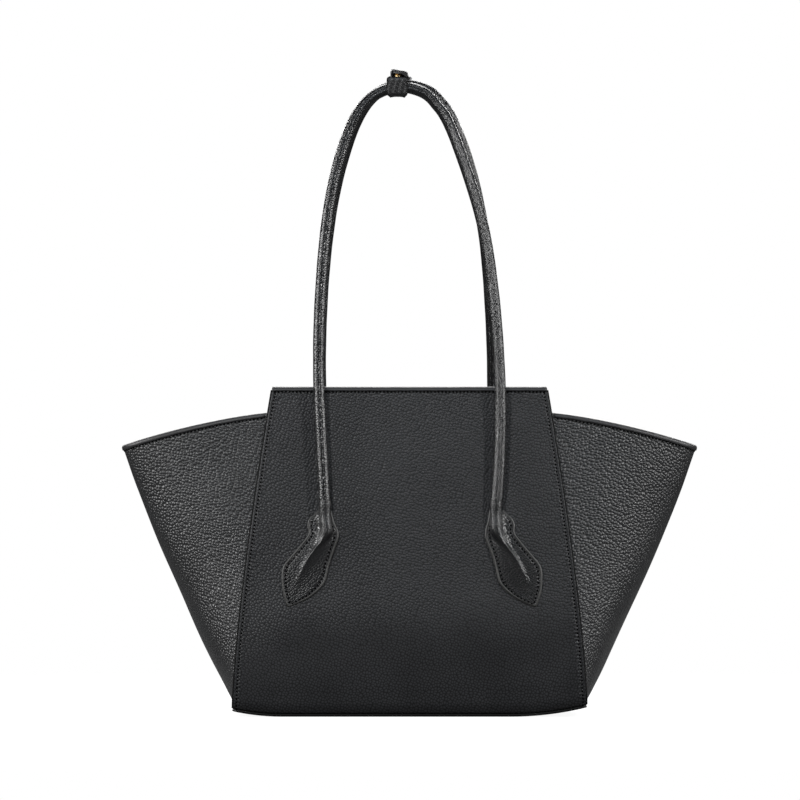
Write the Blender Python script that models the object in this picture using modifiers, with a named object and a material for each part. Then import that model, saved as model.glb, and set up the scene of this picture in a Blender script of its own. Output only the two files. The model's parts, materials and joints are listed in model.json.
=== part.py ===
"""A winged shopper bag: a flared leather tote with two tubular handles and a handle keeper.

Lengths are in metres, +Z is up, the front faces -Y, and the origin is under the middle of the base.
The back repeats the front, and the left side repeats the right, each turned half way round +Z.
"""
import math

import bmesh
import bpy
from mathutils import Matrix, Vector

# Body outline
BASE_LENGTH = 0.2995
TOP_LENGTH = 0.2330
BODY_HEIGHT = 0.2790
SEAM_CURVE_SHARE = 1.4
BASE_DEPTH = 0.1500
MOUTH_DEPTH = 0.0760
LEAN_START = 0.0250
LEAN_CURVE_SHARE = 1.3
PANEL_BULGE = 0.0030
CURL_HEIGHT = 0.0120
CURL_DEPTH = 0.0050
CORNER_REACH = 0.0420
CORNER_LIFT = 0.0046

# Wings
WING_SPAN = 0.4900
WING_SEAM_DROP = 0.0215
WING_TIP_DROP = 0.0500
WING_START = 0.0020
WING_ROUND_SHARE = 0.2
WING_TOP_CURVE_SHARE = 1.3
WING_FLAT_SHARE = 0.40
WING_PUFF_SHARE = 0.12
WING_NOSE_SHARE = 0.60

# Leather, lining and seams
GAP = 0.0003
PANEL_THICKNESS = 0.0018
GUSSET_THICKNESS = 0.0016
FACING_THICKNESS = 0.0012
LINING_THICKNESS = 0.0008
BASE_THICKNESS = 0.0018
BOARD_THICKNESS = 0.0020
BINDING_THICKNESS = 0.0008
BINDING_LEG = 0.0034
BINDING_END_SHARE = 0.98
SEAM_ALLOWANCE = 0.0080
FACING_HEIGHT = 0.0380
BASE_EDGE_INSET = 0.0036
BASE_CORNER = 0.0060
BOARD_INSET = 0.0085

# Handles
HANDLE_RADIUS = 0.0048
HANDLE_COVER_THICKNESS = 0.0012
HANDLE_SPREAD = 0.1540
NECK_DROP = 0.1010
HANDLE_RISE = 0.3566
BACK_HANDLE_LIFT = 0.0025
HANDLE_SPACING = 0.0006
NECK_CLEARANCE = 0.0008
KNUCKLE_COLLAR = 0.0010
GROOVE_DEPTH = 0.0015
GROOVE_WIDTH = 0.0160
GROOVE_FOOT_DROP = 0.0280
GROOVE_FADE = 0.0400
FRONT_ARCH_SHARES = (
    (-0.93, 0.00), (-0.96, 0.12), (-1.00, 0.30), (-0.99, 0.47), (-0.93, 0.645), (-0.825, 0.785),
    (-0.645, 0.907), (-0.42, 0.975), (-0.127, 1.00), (0.15, 0.987), (0.30, 0.957), (0.44, 0.91), (0.645, 0.79),
    (0.845, 0.633), (0.96, 0.43), (1.00, 0.25), (0.985, 0.10), (0.95, 0.00),
)
BACK_ARCH_SHARES = (
    (-0.93, 0.00), (-0.96, 0.12), (-0.99, 0.30), (-0.975, 0.47), (-0.905, 0.645), (-0.785, 0.785),
    (-0.60, 0.907), (-0.38, 0.975), (-0.10, 1.00), (0.19, 0.987), (0.35, 0.957), (0.49, 0.91), (0.69, 0.79),
    (0.835, 0.633), (0.91, 0.43), (0.93, 0.25), (0.94, 0.10), (0.95, 0.00),
)
ARCH_STEPS = 2

# Handle tabs, as (outward share, downward share) pairs for the outer and the inner edge
TAB_WIDTH = 0.0467
TAB_LENGTH = 0.0790
TAB_EDGE = 0.0022
TAB_SEAT = 0.0005
TAB_RIDGE = 0.0088
TAB_OUTER_SHARES = (
    (0.100, 0.00), (0.250, 0.05), (0.323, 0.14), (0.323, 0.23), (0.484, 0.36),
    (0.666, 0.485), (0.794, 0.59), (0.818, 0.716), (0.794, 0.86), (0.747, 0.953), (0.724, 1.00),
)
TAB_INNER_SHARES = (
    (-0.100, 0.00), (-0.135, 0.11), (-0.173, 0.20), (-0.167, 0.283), (-0.084, 0.418),
    (0.000, 0.571), (0.062, 0.726), (0.160, 0.812), (0.338, 0.90), (0.518, 0.956), (0.700, 1.00),
)
TAB_RIDGE_SHARES = (0.30, 1.00, 0.95, 0.87, 0.72, 0.54, 0.40, 0.32, 0.28, 0.26, 0.26)

# Handle keeper
KEEPER_WIDTH = 0.0175
KEEPER_THICKNESS = 0.0014
KEEPER_CORNER = 0.0040
FLAP_WIDTH = 0.0165
FLAP_THICKNESS = 0.0022
FLAP_TILT = 0.0020
SNAP_RADIUS = 0.0042
SNAP_STUD_HEIGHT = 0.0011
SNAP_CAP_HEIGHT = 0.0007
RING_RADIUS = 0.0015
RING_WIRE = 0.0006

# Inside fittings
ZIP_LENGTH = 0.1300
ZIP_OPENING = 0.0085
ZIP_FRAME_BORDER = 0.0060
ZIP_FRAME_THICKNESS = 0.0010
ZIP_TAPE_THICKNESS = 0.0007
ZIP_DROP = 0.02425
POCKET_DEPTH = 0.1000
SLIDER_LENGTH = 0.0100
SLIDER_WIDTH = 0.0066
SLIDER_THICKNESS = 0.0026
PULL_LENGTH = 0.0220
PULL_WIDTH = 0.0070
PULL_THICKNESS = 0.0012
SLIP_POCKET_WIDTH = 0.1300
SLIP_POCKET_TOP_DROP = 0.03325
SLIP_POCKET_DEPTH = 0.0900
POCKET_SEAT = 0.0006
MAGNET_RADIUS = 0.0090
MAGNET_THICKNESS = 0.0020
MAGNET_BOSS_RADIUS = 0.0035
MAGNET_BOSS_HEIGHT = 0.0014
MAGNET_DROP = 0.0200

# Mesh divisions
PANEL_COLUMN_SHARES = (0.16, 0.32, 0.44, 0.50, 0.56, 0.62, 0.70, 0.84, 1.0)
FOOT_ROW_SHARES = (0.0, 0.3, 0.65, 1.0)
PANEL_ROWS = 6
GUSSET_STEPS = 10
CHANNEL_STEPS = 3
TURN_STEPS = 16
TUBE_RINGS = 2
WALL_SAMPLES = 30
DIFFERENCE_SHARE = 1.0e-4

# Finishes: colour, roughness, metallic
LEATHER = ((0.022, 0.022, 0.024, 1.0), 0.45, 0.0)
LINING = ((0.055, 0.052, 0.050, 1.0), 0.85, 0.0)
BOARD = ((0.120, 0.100, 0.080, 1.0), 0.90, 0.0)
ROPE = ((0.300, 0.270, 0.220, 1.0), 0.90, 0.0)
BRASS = ((0.700, 0.500, 0.220, 1.0), 0.28, 1.0)
STEEL = ((0.550, 0.550, 0.560, 1.0), 0.30, 1.0)

HALF_TURN = Matrix.Rotation(math.pi, 4, "Z")
BINDING_RISE = (PANEL_THICKNESS + FACING_THICKNESS + 3 * GAP) / 2 + BINDING_THICKNESS
PANEL_TOP = BODY_HEIGHT - BINDING_RISE
FACING_FOOT = PANEL_TOP - FACING_HEIGHT
PANEL_FOOT = BASE_THICKNESS + GAP
WING_SEAM_HEIGHT = BODY_HEIGHT - WING_SEAM_DROP
WING_TIP_HEIGHT = BODY_HEIGHT - WING_TIP_DROP
NECK_HEIGHT = BODY_HEIGHT - NECK_DROP
GROOVE_FOOT = NECK_HEIGHT - GROOVE_FOOT_DROP
ZIP_HEIGHT = FACING_FOOT - ZIP_DROP
SLIP_POCKET_TOP = FACING_FOOT - SLIP_POCKET_TOP_DROP


def clamp(value):
    """Return the value held between nought and one."""
    return min(1.0, max(0.0, value))


def half_width(height):
    """Return half the front panel's width at a height."""
    taper = (BASE_LENGTH - TOP_LENGTH) / 2
    return BASE_LENGTH / 2 - taper * clamp(height / BODY_HEIGHT) ** SEAM_CURVE_SHARE


def half_depth(height):
    """Return half the bag's depth at a height: it leans in above and curls under below."""
    lean = clamp((height - LEAN_START) / (BODY_HEIGHT - LEAN_START))
    curl = clamp(1 - height / CURL_HEIGHT)
    lean_in = (BASE_DEPTH - MOUTH_DEPTH) / 2 * lean ** LEAN_CURVE_SHARE
    return BASE_DEPTH / 2 - lean_in - CURL_DEPTH * curl ** 2


def lift(x):
    """Return how far the sewn corners draw the bottom edge up at x."""
    start = BASE_LENGTH / 2 - CORNER_REACH
    return CORNER_LIFT * clamp((abs(x) - start) / CORNER_REACH) ** 2


def groove(x, height):
    """Return how far a handle presses the panel in, fading at its foot and at the top edge."""
    across = math.exp(-(((abs(x) - HANDLE_SPREAD / 2) / GROOVE_WIDTH) ** 2))
    foot = clamp((height - GROOVE_FOOT) / GROOVE_FADE)
    top = clamp((PANEL_TOP - height) / GROOVE_FADE)
    return GROOVE_DEPTH * across * foot * top


def panel(u, height):
    """Return the front panel's outer surface, with u from -1 to 1 across."""
    x = u * half_width(height)
    bulge = PANEL_BULGE * (1 - u * u) * math.sin(math.pi * clamp(height / PANEL_TOP))
    y = -(half_depth(height) + bulge - groove(x, height))
    return Vector((x, y, height + lift(x) * (1 - height / BODY_HEIGHT)))


def inset(surface, depth):
    """Return the surface moved inward along its own normal."""
    def moved(u, height):
        step = DIFFERENCE_SHARE
        rise = BODY_HEIGHT * step
        along = surface(u + step, height) - surface(u - step, height)
        upward = surface(u, height + rise) - surface(u, height - rise)
        return surface(u, height) - along.cross(upward).normalized() * depth
    return moved


def wing_reach(height):
    """Return how far out the wing's fold lies at a height."""
    share = max(0.0, (height - WING_START) / (WING_TIP_HEIGHT - WING_START))
    flare = (WING_SPAN - BASE_LENGTH) / 2
    return BASE_LENGTH / 2 + flare * ((1 + WING_ROUND_SHARE) * share - WING_ROUND_SHARE * share * share)


def bezier(points, t):
    """Return one coordinate of a cubic Bezier curve."""
    first, second, third, fourth = points
    rest = 1 - t
    return first * rest ** 3 + 3 * second * rest * rest * t + 3 * third * rest * t * t + fourth * t ** 3


def gusset(s, height):
    """Return the right gusset's outer surface, with s from -1 at the front seam to 1 at the back.

    Beyond -1 and 1 it is the seam allowance, which lies behind the panel.
    """
    seam = inset(panel, PANEL_THICKNESS + GAP)
    spread = abs(s)
    if spread > 1:
        point = seam(1 - (spread - 1) * SEAM_ALLOWANCE / half_width(height), height)
    else:
        start = seam(1, height)
        out = max(0.0, wing_reach(height) - start.x)
        x_points = (start.x, start.x + WING_FLAT_SHARE * out, start.x + out, start.x + out)
        y_points = (start.y, start.y * (1 - WING_PUFF_SHARE), start.y * WING_NOSE_SHARE, 0)
        point = Vector((bezier(x_points, 1 - spread), bezier(y_points, 1 - spread), start.z))
    if s > 0:
        point.y = -point.y
    return point


def wing_inside(s, height):
    """Return the surface behind a gusset's leather, held clear of the seam allowance at the corners."""
    point = inset(gusset, GUSSET_THICKNESS + GAP)(s, height)
    allowance = inset(panel, PANEL_THICKNESS + GUSSET_THICKNESS + 2 * GAP)(1, height)
    limit = -allowance.y
    point.y = min(limit, max(-limit, point.y))
    return point


def gusset_top(s):
    """Return the height of the gusset's leather edge, which falls from the seam to the wing's tip."""
    share = bezier((0, WING_FLAT_SHARE, 1, 1), 1 - min(1.0, abs(s)))
    fall = WING_SEAM_HEIGHT - WING_TIP_HEIGHT
    return WING_SEAM_HEIGHT - BINDING_RISE - fall * share ** WING_TOP_CURVE_SHARE


def lining_surface(w, height):
    """Return the panel's surface, narrowed so that it clears the gussets' seam allowances."""
    narrow = 1 - (SEAM_ALLOWANCE + GAP) / half_width(height)
    return panel(w * narrow, height)


def finish(item, look):
    """Give an object a material of its own."""
    colour, roughness, metallic = look
    material = bpy.data.materials.new(item.name + "_finish")
    material.use_nodes = True
    shader = material.node_tree.nodes["Principled BSDF"]
    shader.inputs["Base Color"].default_value = colour
    shader.inputs["Roughness"].default_value = roughness
    shader.inputs["Metallic"].default_value = metallic
    item.data.materials.append(material)


def add_object(name, data, look):
    """Link a named object with its own material into the bag's collection."""
    item = bpy.data.objects.new(name, data)
    bpy.data.collections["shopper_bag"].objects.link(item)
    if look:
        finish(item, look)
    return item


def mesh_object(name, mesh, look):
    """Turn a bmesh into a named object."""
    data = bpy.data.meshes.new(name)
    mesh.to_mesh(data)
    mesh.free()
    return add_object(name, data, look)


def smooth(item):
    """Shade the rounded faces smooth and keep the edges of the sheet sharp."""
    item.data.shade_smooth()
    item.data.set_sharp_from_angle(angle=math.radians(40))


def sheet(name, surface, columns, rows, thickness, look, outward=False, turned=False):
    """Make a sheet of even thickness whose outer, or with outward its inner, face is the surface."""
    mesh = bmesh.new()
    bmesh.ops.create_grid(mesh, x_segments=len(columns) - 1, y_segments=len(rows) - 1, size=0.5)
    for vertex in mesh.verts:
        column = round((vertex.co.x + 0.5) * (len(columns) - 1))
        row = round((vertex.co.y + 0.5) * (len(rows) - 1))
        vertex.co = surface(columns[column], rows[row])
    item = mesh_object(name, mesh, look)
    smooth(item)
    shell = item.modifiers.new("thickness", "SOLIDIFY")
    shell.thickness = thickness
    shell.offset = 1.0 if outward else -1.0
    shell.use_even_offset = True
    if turned:
        item.matrix_world = HALF_TURN
    return item


def loft(name, rings, look):
    """Make a closed solid through rings of equally many points."""
    mesh = bmesh.new()
    loops = [[mesh.verts.new(point) for point in ring] for ring in rings]
    for lower, upper in zip(loops, loops[1:]):
        for index in range(len(lower)):
            after = (index + 1) % len(lower)
            mesh.faces.new((lower[index], lower[after], upper[after], upper[index]))
    mesh.faces.new(loops[0])
    mesh.faces.new(loops[-1])
    bmesh.ops.recalc_face_normals(mesh, faces=mesh.faces)
    item = mesh_object(name, mesh, look)
    smooth(item)
    return item


def even_steps(start, end, count):
    """Return count + 1 values from start to end."""
    return [start + (end - start) * index / count for index in range(count + 1)]


def panel_columns():
    """Return the columns of a panel, closer together where the handles press it in."""
    return [-share for share in reversed(PANEL_COLUMN_SHARES)] + [0.0] + list(PANEL_COLUMN_SHARES)


def gusset_columns():
    """Return the columns of a gusset from seam to seam."""
    return even_steps(-1.0, 1.0, 2 * GUSSET_STEPS)


def foot_rows():
    """Return the heights of the rows that follow the curl at the foot of a panel and a gusset."""
    return [PANEL_FOOT + CURL_HEIGHT * share for share in FOOT_ROW_SHARES]


def channel_path(stack):
    """Return the binding's section as (depth, rise) pairs: a leg, a round top and a leg."""
    radius = stack / 2 + GAP
    arc = []
    for angle in even_steps(math.pi, 0.0, CHANNEL_STEPS):
        arc.append((stack / 2 + radius * math.cos(angle), radius * math.sin(angle)))
    return [(-GAP, -BINDING_LEG)] + arc + [(stack + GAP, -BINDING_LEG)]


def binding(name, surface, columns, edge_height, stack, turned):
    """Make the folded strip that wraps a top edge."""
    path = channel_path(stack)

    def strip(u, index):
        depth, rise = path[index]
        return inset(surface, depth)(u, edge_height(u) + rise)

    rows = range(len(path))
    return sheet(name, strip, columns, rows, BINDING_THICKNESS, LEATHER, outward=True, turned=turned)


def panel_side(side, turned):
    """Make one big panel with its top binding, facing and lining."""
    low = foot_rows()
    lined = even_steps(low[-1], FACING_FOOT, PANEL_ROWS)
    faced = even_steps(FACING_FOOT, PANEL_TOP, 2)
    rows = low + lined[1:] + faced[1:]
    sheet(side + "_panel", panel, panel_columns(), rows, PANEL_THICKNESS, LEATHER, turned=turned)
    under = inset(lining_surface, PANEL_THICKNESS + GAP)
    stack = PANEL_THICKNESS + GAP + FACING_THICKNESS
    binding(side + "_top_binding", panel, (-1.0, 0.0, 1.0), lambda u: PANEL_TOP, stack, turned)
    sheet(side + "_facing", under, panel_columns(), faced, FACING_THICKNESS, LEATHER, turned=turned)
    lining_rows = low[2:] + lined[1:-1] + [FACING_FOOT - GAP]
    sheet(side + "_lining", under, panel_columns(), lining_rows, LINING_THICKNESS, LINING, turned=turned)


def between(surface, foot, top):
    """Return the surface with rows that run as shares from a foot line to a top line."""
    def mapped(s, share):
        low = foot(s)
        return surface(s, low + (top(s) - low) * share)
    return mapped


def gusset_side(side, turned):
    """Make one wing: the gusset with its seam allowances, binding, facing and lining."""
    columns = gusset_columns()
    height = gusset_top(1.0) - PANEL_FOOT
    low = [(row - PANEL_FOOT) / height for row in foot_rows()]
    facing_foot = 1 - FACING_HEIGHT / height
    lined = even_steps(low[-1], facing_foot, PANEL_ROWS)
    faced = even_steps(facing_foot, 1.0, 2)
    outer = between(gusset, lambda s: PANEL_FOOT, gusset_top)
    rows = low + lined[1:] + faced[1:]
    sheet(side + "_gusset", outer, [-2.0] + columns + [2.0], rows, GUSSET_THICKNESS, LEATHER, turned=turned)
    stack = GUSSET_THICKNESS + GAP + FACING_THICKNESS
    bound = [s * BINDING_END_SHARE for s in columns]
    binding(side + "_gusset_binding", gusset, bound, gusset_top, stack, turned)
    under = between(wing_inside, lambda s: PANEL_FOOT, gusset_top)
    sheet(side + "_wing_facing", under, columns, faced, FACING_THICKNESS, LEATHER, turned=turned)
    lining_rows = low[2:] + lined[1:-1] + [facing_foot - GAP / height]
    sheet(side + "_wing_lining", under, columns, lining_rows, LINING_THICKNESS, LINING, turned=turned)


def base_sheet(name, inset_by, bottom, thickness, look):
    """Make a layer of the base, which follows the drawn-up corners."""
    length = BASE_LENGTH / 2 - inset_by
    depth = BASE_DEPTH / 2 - BASE_EDGE_INSET - inset_by
    columns = [share * length for share in (-1.0, -0.99, -0.97, -0.9, -0.8, -0.71, 0.71, 0.8, 0.9, 0.97, 0.99, 1.0)]

    def flat(x, share):
        past = clamp((abs(x) - length + BASE_CORNER) / BASE_CORNER)
        reach = depth - BASE_CORNER * (1 - math.sqrt(1 - past * past))
        return Vector((x, share * reach, bottom + lift(x)))

    return sheet(name, flat, columns, (-1.0, 0.0, 1.0), thickness, look, outward=True)


def base():
    """Make the base leather, the stiff board on it and the lining over the board."""
    base_sheet("base_panel", 0.0, 0.0, BASE_THICKNESS, LEATHER)
    board_bottom = BASE_THICKNESS + GAP
    base_sheet("base_board", BOARD_INSET, board_bottom, BOARD_THICKNESS, BOARD)
    lining_bottom = board_bottom + BOARD_THICKNESS + GAP
    base_sheet("base_lining", BOARD_INSET, lining_bottom, LINING_THICKNESS, LINING)


def smooth_path(points, steps):
    """Return points along a Catmull-Rom curve through the given ones."""
    padded = [2 * points[0] - points[1]] + list(points) + [2 * points[-1] - points[-2]]
    path = []
    for before, start, end, after in zip(padded, padded[1:], padded[2:], padded[3:]):
        for index in range(steps):
            t = index / steps
            cubic = 3 * start - before - 3 * end + after
            square = 2 * before - 5 * start + 4 * end - after
            path.append(start + (end - before) * t / 2 + square * t * t / 2 + cubic * t ** 3 / 2)
    return path + [points[-1]]


def neck_depth():
    """Return how far in front of the bag's middle plane a handle's neck lies."""
    surface = panel(HANDLE_SPREAD / 2 / half_width(NECK_HEIGHT), NECK_HEIGHT)
    return -surface.y + HANDLE_RADIUS + NECK_CLEARANCE


def handle_path(shares, rise, side):
    """Return a handle's centre line from neck to neck, with side -1 in front and 1 behind."""
    top_depth = HANDLE_RADIUS + HANDLE_SPACING / 2
    points = []
    for across, up in shares:
        depth = neck_depth() + (top_depth - neck_depth()) * up
        points.append(Vector((across * HANDLE_SPREAD / 2, side * depth, NECK_HEIGHT + up * rise)))
    return smooth_path(points, ARCH_STEPS)


def tube_curve(name, path, radii, caps):
    """Make a tube as a bevelled curve with a radius at each point."""
    data = bpy.data.curves.new(name, "CURVE")
    data.dimensions = "3D"
    data.bevel_depth = HANDLE_RADIUS
    data.bevel_resolution = TUBE_RINGS
    data.use_fill_caps = caps
    spline = data.splines.new("POLY")
    spline.points.add(len(path) - 1)
    for point, place, radius in zip(spline.points, path, radii):
        point.co = (*place, 1.0)
        point.radius = radius / HANDLE_RADIUS
    return data


def handle_cover(name, path):
    """Make the leather tube of a handle, open at both necks."""
    collar = KNUCKLE_COLLAR
    trimmed = list(path)
    trimmed[0] = path[0] + (path[1] - path[0]).normalized() * collar
    trimmed[-1] = path[-1] + (path[-2] - path[-1]).normalized() * collar
    curve = tube_curve(name, trimmed, [HANDLE_RADIUS] * len(trimmed), False)
    rope = add_object(name + "_route", curve, None)
    mesh = bpy.data.meshes.new_from_object(rope.evaluated_get(bpy.context.evaluated_depsgraph_get()))
    bpy.data.objects.remove(rope)
    mesh.name = name
    item = add_object(name, mesh, LEATHER)
    smooth(item)
    shell = item.modifiers.new("thickness", "SOLIDIFY")
    shell.thickness = HANDLE_COVER_THICKNESS
    shell.offset = -1.0


def knuckle(path):
    """Return the centres and radii that end the rope core in a ball at the start of a path."""
    along = (path[1] - path[0]).normalized()
    core = HANDLE_RADIUS - HANDLE_COVER_THICKNESS - GAP
    collar = KNUCKLE_COLLAR - GAP
    shoulder = math.sqrt(HANDLE_RADIUS ** 2 - collar ** 2)
    centres = []
    radii = []
    for angle in (-80, -55, -30, 0):
        centres.append(path[0] + along * HANDLE_RADIUS * math.sin(math.radians(angle)))
        radii.append(HANDLE_RADIUS * math.cos(math.radians(angle)))
    centres += [path[0] + along * collar, path[0] + along * KNUCKLE_COLLAR]
    radii += [shoulder, core]
    return centres, radii


def handle_core(name, path):
    """Make the rope inside a handle, with a rounded knuckle where it meets each tab."""
    core = HANDLE_RADIUS - HANDLE_COVER_THICKNESS - GAP
    first_centres, first_radii = knuckle(path)
    last_centres, last_radii = knuckle(path[::-1])
    centres = first_centres + path[1:-1] + last_centres[::-1]
    radii = first_radii + [core] * (len(path) - 2) + last_radii[::-1]
    add_object(name, tube_curve(name, centres, radii, True), ROPE)


def tab_point(side, across, down, height):
    """Return a point at a height above the front panel, placed from the neck by shares."""
    top = NECK_HEIGHT - HANDLE_RADIUS - GAP
    x = side * (neck_place(side) + across * TAB_WIDTH)
    z = top - down * TAB_LENGTH
    surface = panel(x / half_width(z), z)
    return Vector((x, surface.y - height, z))


def neck_place(side):
    """Return how far from the middle a neck lies on one side of the front."""
    end = FRONT_ARCH_SHARES[0] if side < 0 else FRONT_ARCH_SHARES[-1]
    return abs(end[0]) * HANDLE_SPREAD / 2


def handle_tab(name, side, turned):
    """Make one leaf-shaped tab: a flat sewn rim with the ridge of the rope fading out along it."""
    across = even_steps(-1.0, 1.0, 8)
    rings = []
    for outer, inner, ridge in zip(TAB_OUTER_SHARES, TAB_INNER_SHARES, TAB_RIDGE_SHARES):
        front = []
        back = []
        for w in across:
            place = [inner[axis] + (outer[axis] - inner[axis]) * (w + 1) / 2 for axis in (0, 1)]
            bump = (1 - w * w) ** 2
            height = TAB_EDGE + max(0.0, TAB_RIDGE * ridge - TAB_EDGE) * bump
            front.append(tab_point(side, *place, TAB_SEAT + height))
            back.append(tab_point(side, *place, TAB_SEAT))
        rings.append(front + back[::-1])
    item = loft(name, rings, LEATHER)
    if turned:
        item.matrix_world = HALF_TURN
    return item


def flat_outline(name, outlines, thickness, look):
    """Make a flat piece from closed outlines, the first one solid and any others cut out."""
    data = bpy.data.curves.new(name, "CURVE")
    data.dimensions = "2D"
    data.fill_mode = "BOTH"
    data.extrude = thickness / 2
    for outline in outlines:
        spline = data.splines.new("POLY")
        spline.points.add(len(outline) - 1)
        spline.use_cyclic_u = True
        for point, (x, y) in zip(spline.points, outline):
            point.co = (x, y, 0.0, 1.0)
    return add_object(name, data, look)


def rounded_rectangle(width, height, radius, steps=4):
    """Return the outline of a rectangle with round corners about the origin."""
    outline = []
    for corner, (sx, sy) in enumerate(((1, 1), (-1, 1), (-1, -1), (1, -1))):
        for step in range(steps + 1):
            angle = math.pi / 2 * (corner + step / steps)
            x = sx * (width / 2 - radius) + radius * math.cos(angle)
            y = sy * (height / 2 - radius) + radius * math.sin(angle)
            outline.append((x, y))
    return outline


def turned_piece(name, profile, look):
    """Make a round piece by turning a profile of (radius, height) pairs about +Z, top to bottom."""
    data = bpy.data.meshes.new(name)
    points = [(radius, 0.0, height) for radius, height in profile]
    edges = [(index, index + 1) for index in range(len(points) - 1)]
    data.from_pydata(points, edges, [])
    item = add_object(name, data, look)
    screw = item.modifiers.new("turn", "SCREW")
    screw.steps = TURN_STEPS
    screw.render_steps = TURN_STEPS
    screw.use_merge_vertices = True
    screw.merge_threshold = 1.0e-6
    screw.use_smooth_shade = False
    return item


def keeper(front_path, back_path):
    """Make the keeper: a band round both handles, its snap, the flap over it and a small ring."""
    apex = max(front_path, key=lambda point: point.z)
    middle = Vector((apex.x, 0.0, 0.0))
    half = KEEPER_WIDTH / 2
    near = [p for p in front_path + back_path if abs(p.x - middle.x) <= KEEPER_WIDTH]
    lowest = min(height_at(front_path, middle.x + shift) for shift in (-half, half))
    highest = max(point.z for point in near)
    bottom = lowest - HANDLE_RADIUS - GAP
    top = highest + HANDLE_RADIUS + GAP
    depth = 4 * HANDLE_RADIUS + HANDLE_SPACING + 2 * GAP
    inner = rounded_rectangle(depth, top - bottom, KEEPER_CORNER)
    outer_depth = depth + 2 * KEEPER_THICKNESS
    outer_height = top - bottom + 2 * KEEPER_THICKNESS
    outer = rounded_rectangle(outer_depth, outer_height, KEEPER_CORNER + KEEPER_THICKNESS)
    band = flat_outline("keeper_band", (outer, inner), KEEPER_WIDTH, LEATHER)
    side_on = Matrix(((0, 0, 1, 0), (1, 0, 0, 0), (0, 1, 0, 0), (0, 0, 0, 1)))
    band.matrix_world = Matrix.Translation((middle.x, 0.0, (top + bottom) / 2)) @ side_on

    band_top = top + KEEPER_THICKNESS
    stud_top = band_top + GAP + SNAP_STUD_HEIGHT
    stud = turned_piece("keeper_snap_stud", (
        (0.0, SNAP_STUD_HEIGHT), (SNAP_RADIUS * 0.6, SNAP_STUD_HEIGHT),
        (SNAP_RADIUS * 0.7, SNAP_STUD_HEIGHT / 2), (SNAP_RADIUS, SNAP_STUD_HEIGHT / 2),
        (SNAP_RADIUS, 0.0), (0.0, 0.0)), BRASS)
    stud.location = (middle.x, 0.0, band_top + GAP)
    cap = turned_piece("keeper_snap_cap", (
        (0.0, SNAP_CAP_HEIGHT), (SNAP_RADIUS, SNAP_CAP_HEIGHT), (SNAP_RADIUS, 0.0), (0.0, 0.0)), BRASS)
    cap.location = (middle.x, 0.0, stud_top + GAP)

    flap_bottom = stud_top + SNAP_CAP_HEIGHT + 2 * GAP
    drop = flap_bottom - band_top - GAP
    left = -FLAP_WIDTH / 2
    right = FLAP_WIDTH / 2
    outline = (
        (left, 0.0), (right - FLAP_THICKNESS, 0.0), (right, -drop), (right + FLAP_THICKNESS, -drop),
        (right + FLAP_THICKNESS / 2, FLAP_THICKNESS / 2), (right - FLAP_THICKNESS, FLAP_THICKNESS),
        (left + FLAP_THICKNESS / 2, FLAP_THICKNESS + FLAP_TILT),
        (left, FLAP_THICKNESS / 2 + FLAP_TILT),
    )
    flap = flat_outline("keeper_flap", (outline,), outer_depth, LEATHER)
    front_on = Matrix(((1, 0, 0, 0), (0, 0, -1, 0), (0, 1, 0, 0), (0, 0, 0, 1)))
    flap.matrix_world = Matrix.Translation((middle.x, 0.0, flap_bottom)) @ front_on

    mesh = bmesh.new()
    ring_profile(mesh)
    ring = mesh_object("keeper_ring", mesh, STEEL)
    ring.location = (middle.x + half + GAP + RING_RADIUS + RING_WIRE, 0.0, highest + HANDLE_RADIUS)


def ring_profile(mesh):
    """Make a small wire ring in the plane of the front."""
    count = TURN_STEPS // 2
    sides = 6
    rings = []
    for index in range(count):
        around = 2 * math.pi * index / count
        centre = Vector((math.cos(around), 0.0, math.sin(around)))
        ring = []
        for side in range(sides):
            angle = 2 * math.pi * side / sides
            place = centre * (RING_RADIUS + RING_WIRE * math.cos(angle))
            ring.append(mesh.verts.new(place + Vector((0.0, RING_WIRE * math.sin(angle), 0.0))))
        rings.append(ring)
    for index in range(count):
        ring, following = rings[index], rings[(index + 1) % count]
        for side in range(sides):
            after = (side + 1) % sides
            mesh.faces.new((ring[side], ring[after], following[after], following[side]))
    bmesh.ops.recalc_face_normals(mesh, faces=mesh.faces)


def height_at(path, x):
    """Return the height of a path's top stretch where it passes x."""
    heights = []
    for start, end in zip(path, path[1:]):
        if min(start.x, end.x) <= x <= max(start.x, end.x):
            share = (x - start.x) / (end.x - start.x)
            heights.append(start.z + (end.z - start.z) * share)
    return max(heights)


def wall_frame(x_reach, height, depth):
    """Return the place of a flat fitting on the back wall's inner face, clear of the handles' grooves.

    Local X runs along the bag, local Y up the wall and local Z into the bag.
    """
    surface = inset(panel, depth)
    across = [x / half_width(height) for x in even_steps(0, x_reach, WALL_SAMPLES)]
    u = max(across, key=lambda share: surface(share, height).y)
    low = surface(u, height - CURL_HEIGHT)
    high = surface(u, height + CURL_HEIGHT)
    up = Vector((0.0, -(high.y - low.y), high.z - low.z)).normalized()
    inward = Vector((1.0, 0.0, 0.0)).cross(up)
    place = surface(u, height)
    frame = Matrix.Identity(4)
    for row in range(3):
        frame[row][0] = 1.0 if row == 0 else 0.0
        frame[row][1] = up[row]
        frame[row][2] = inward[row]
    frame[1][3] = -place.y
    frame[2][3] = place.z
    return frame


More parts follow.
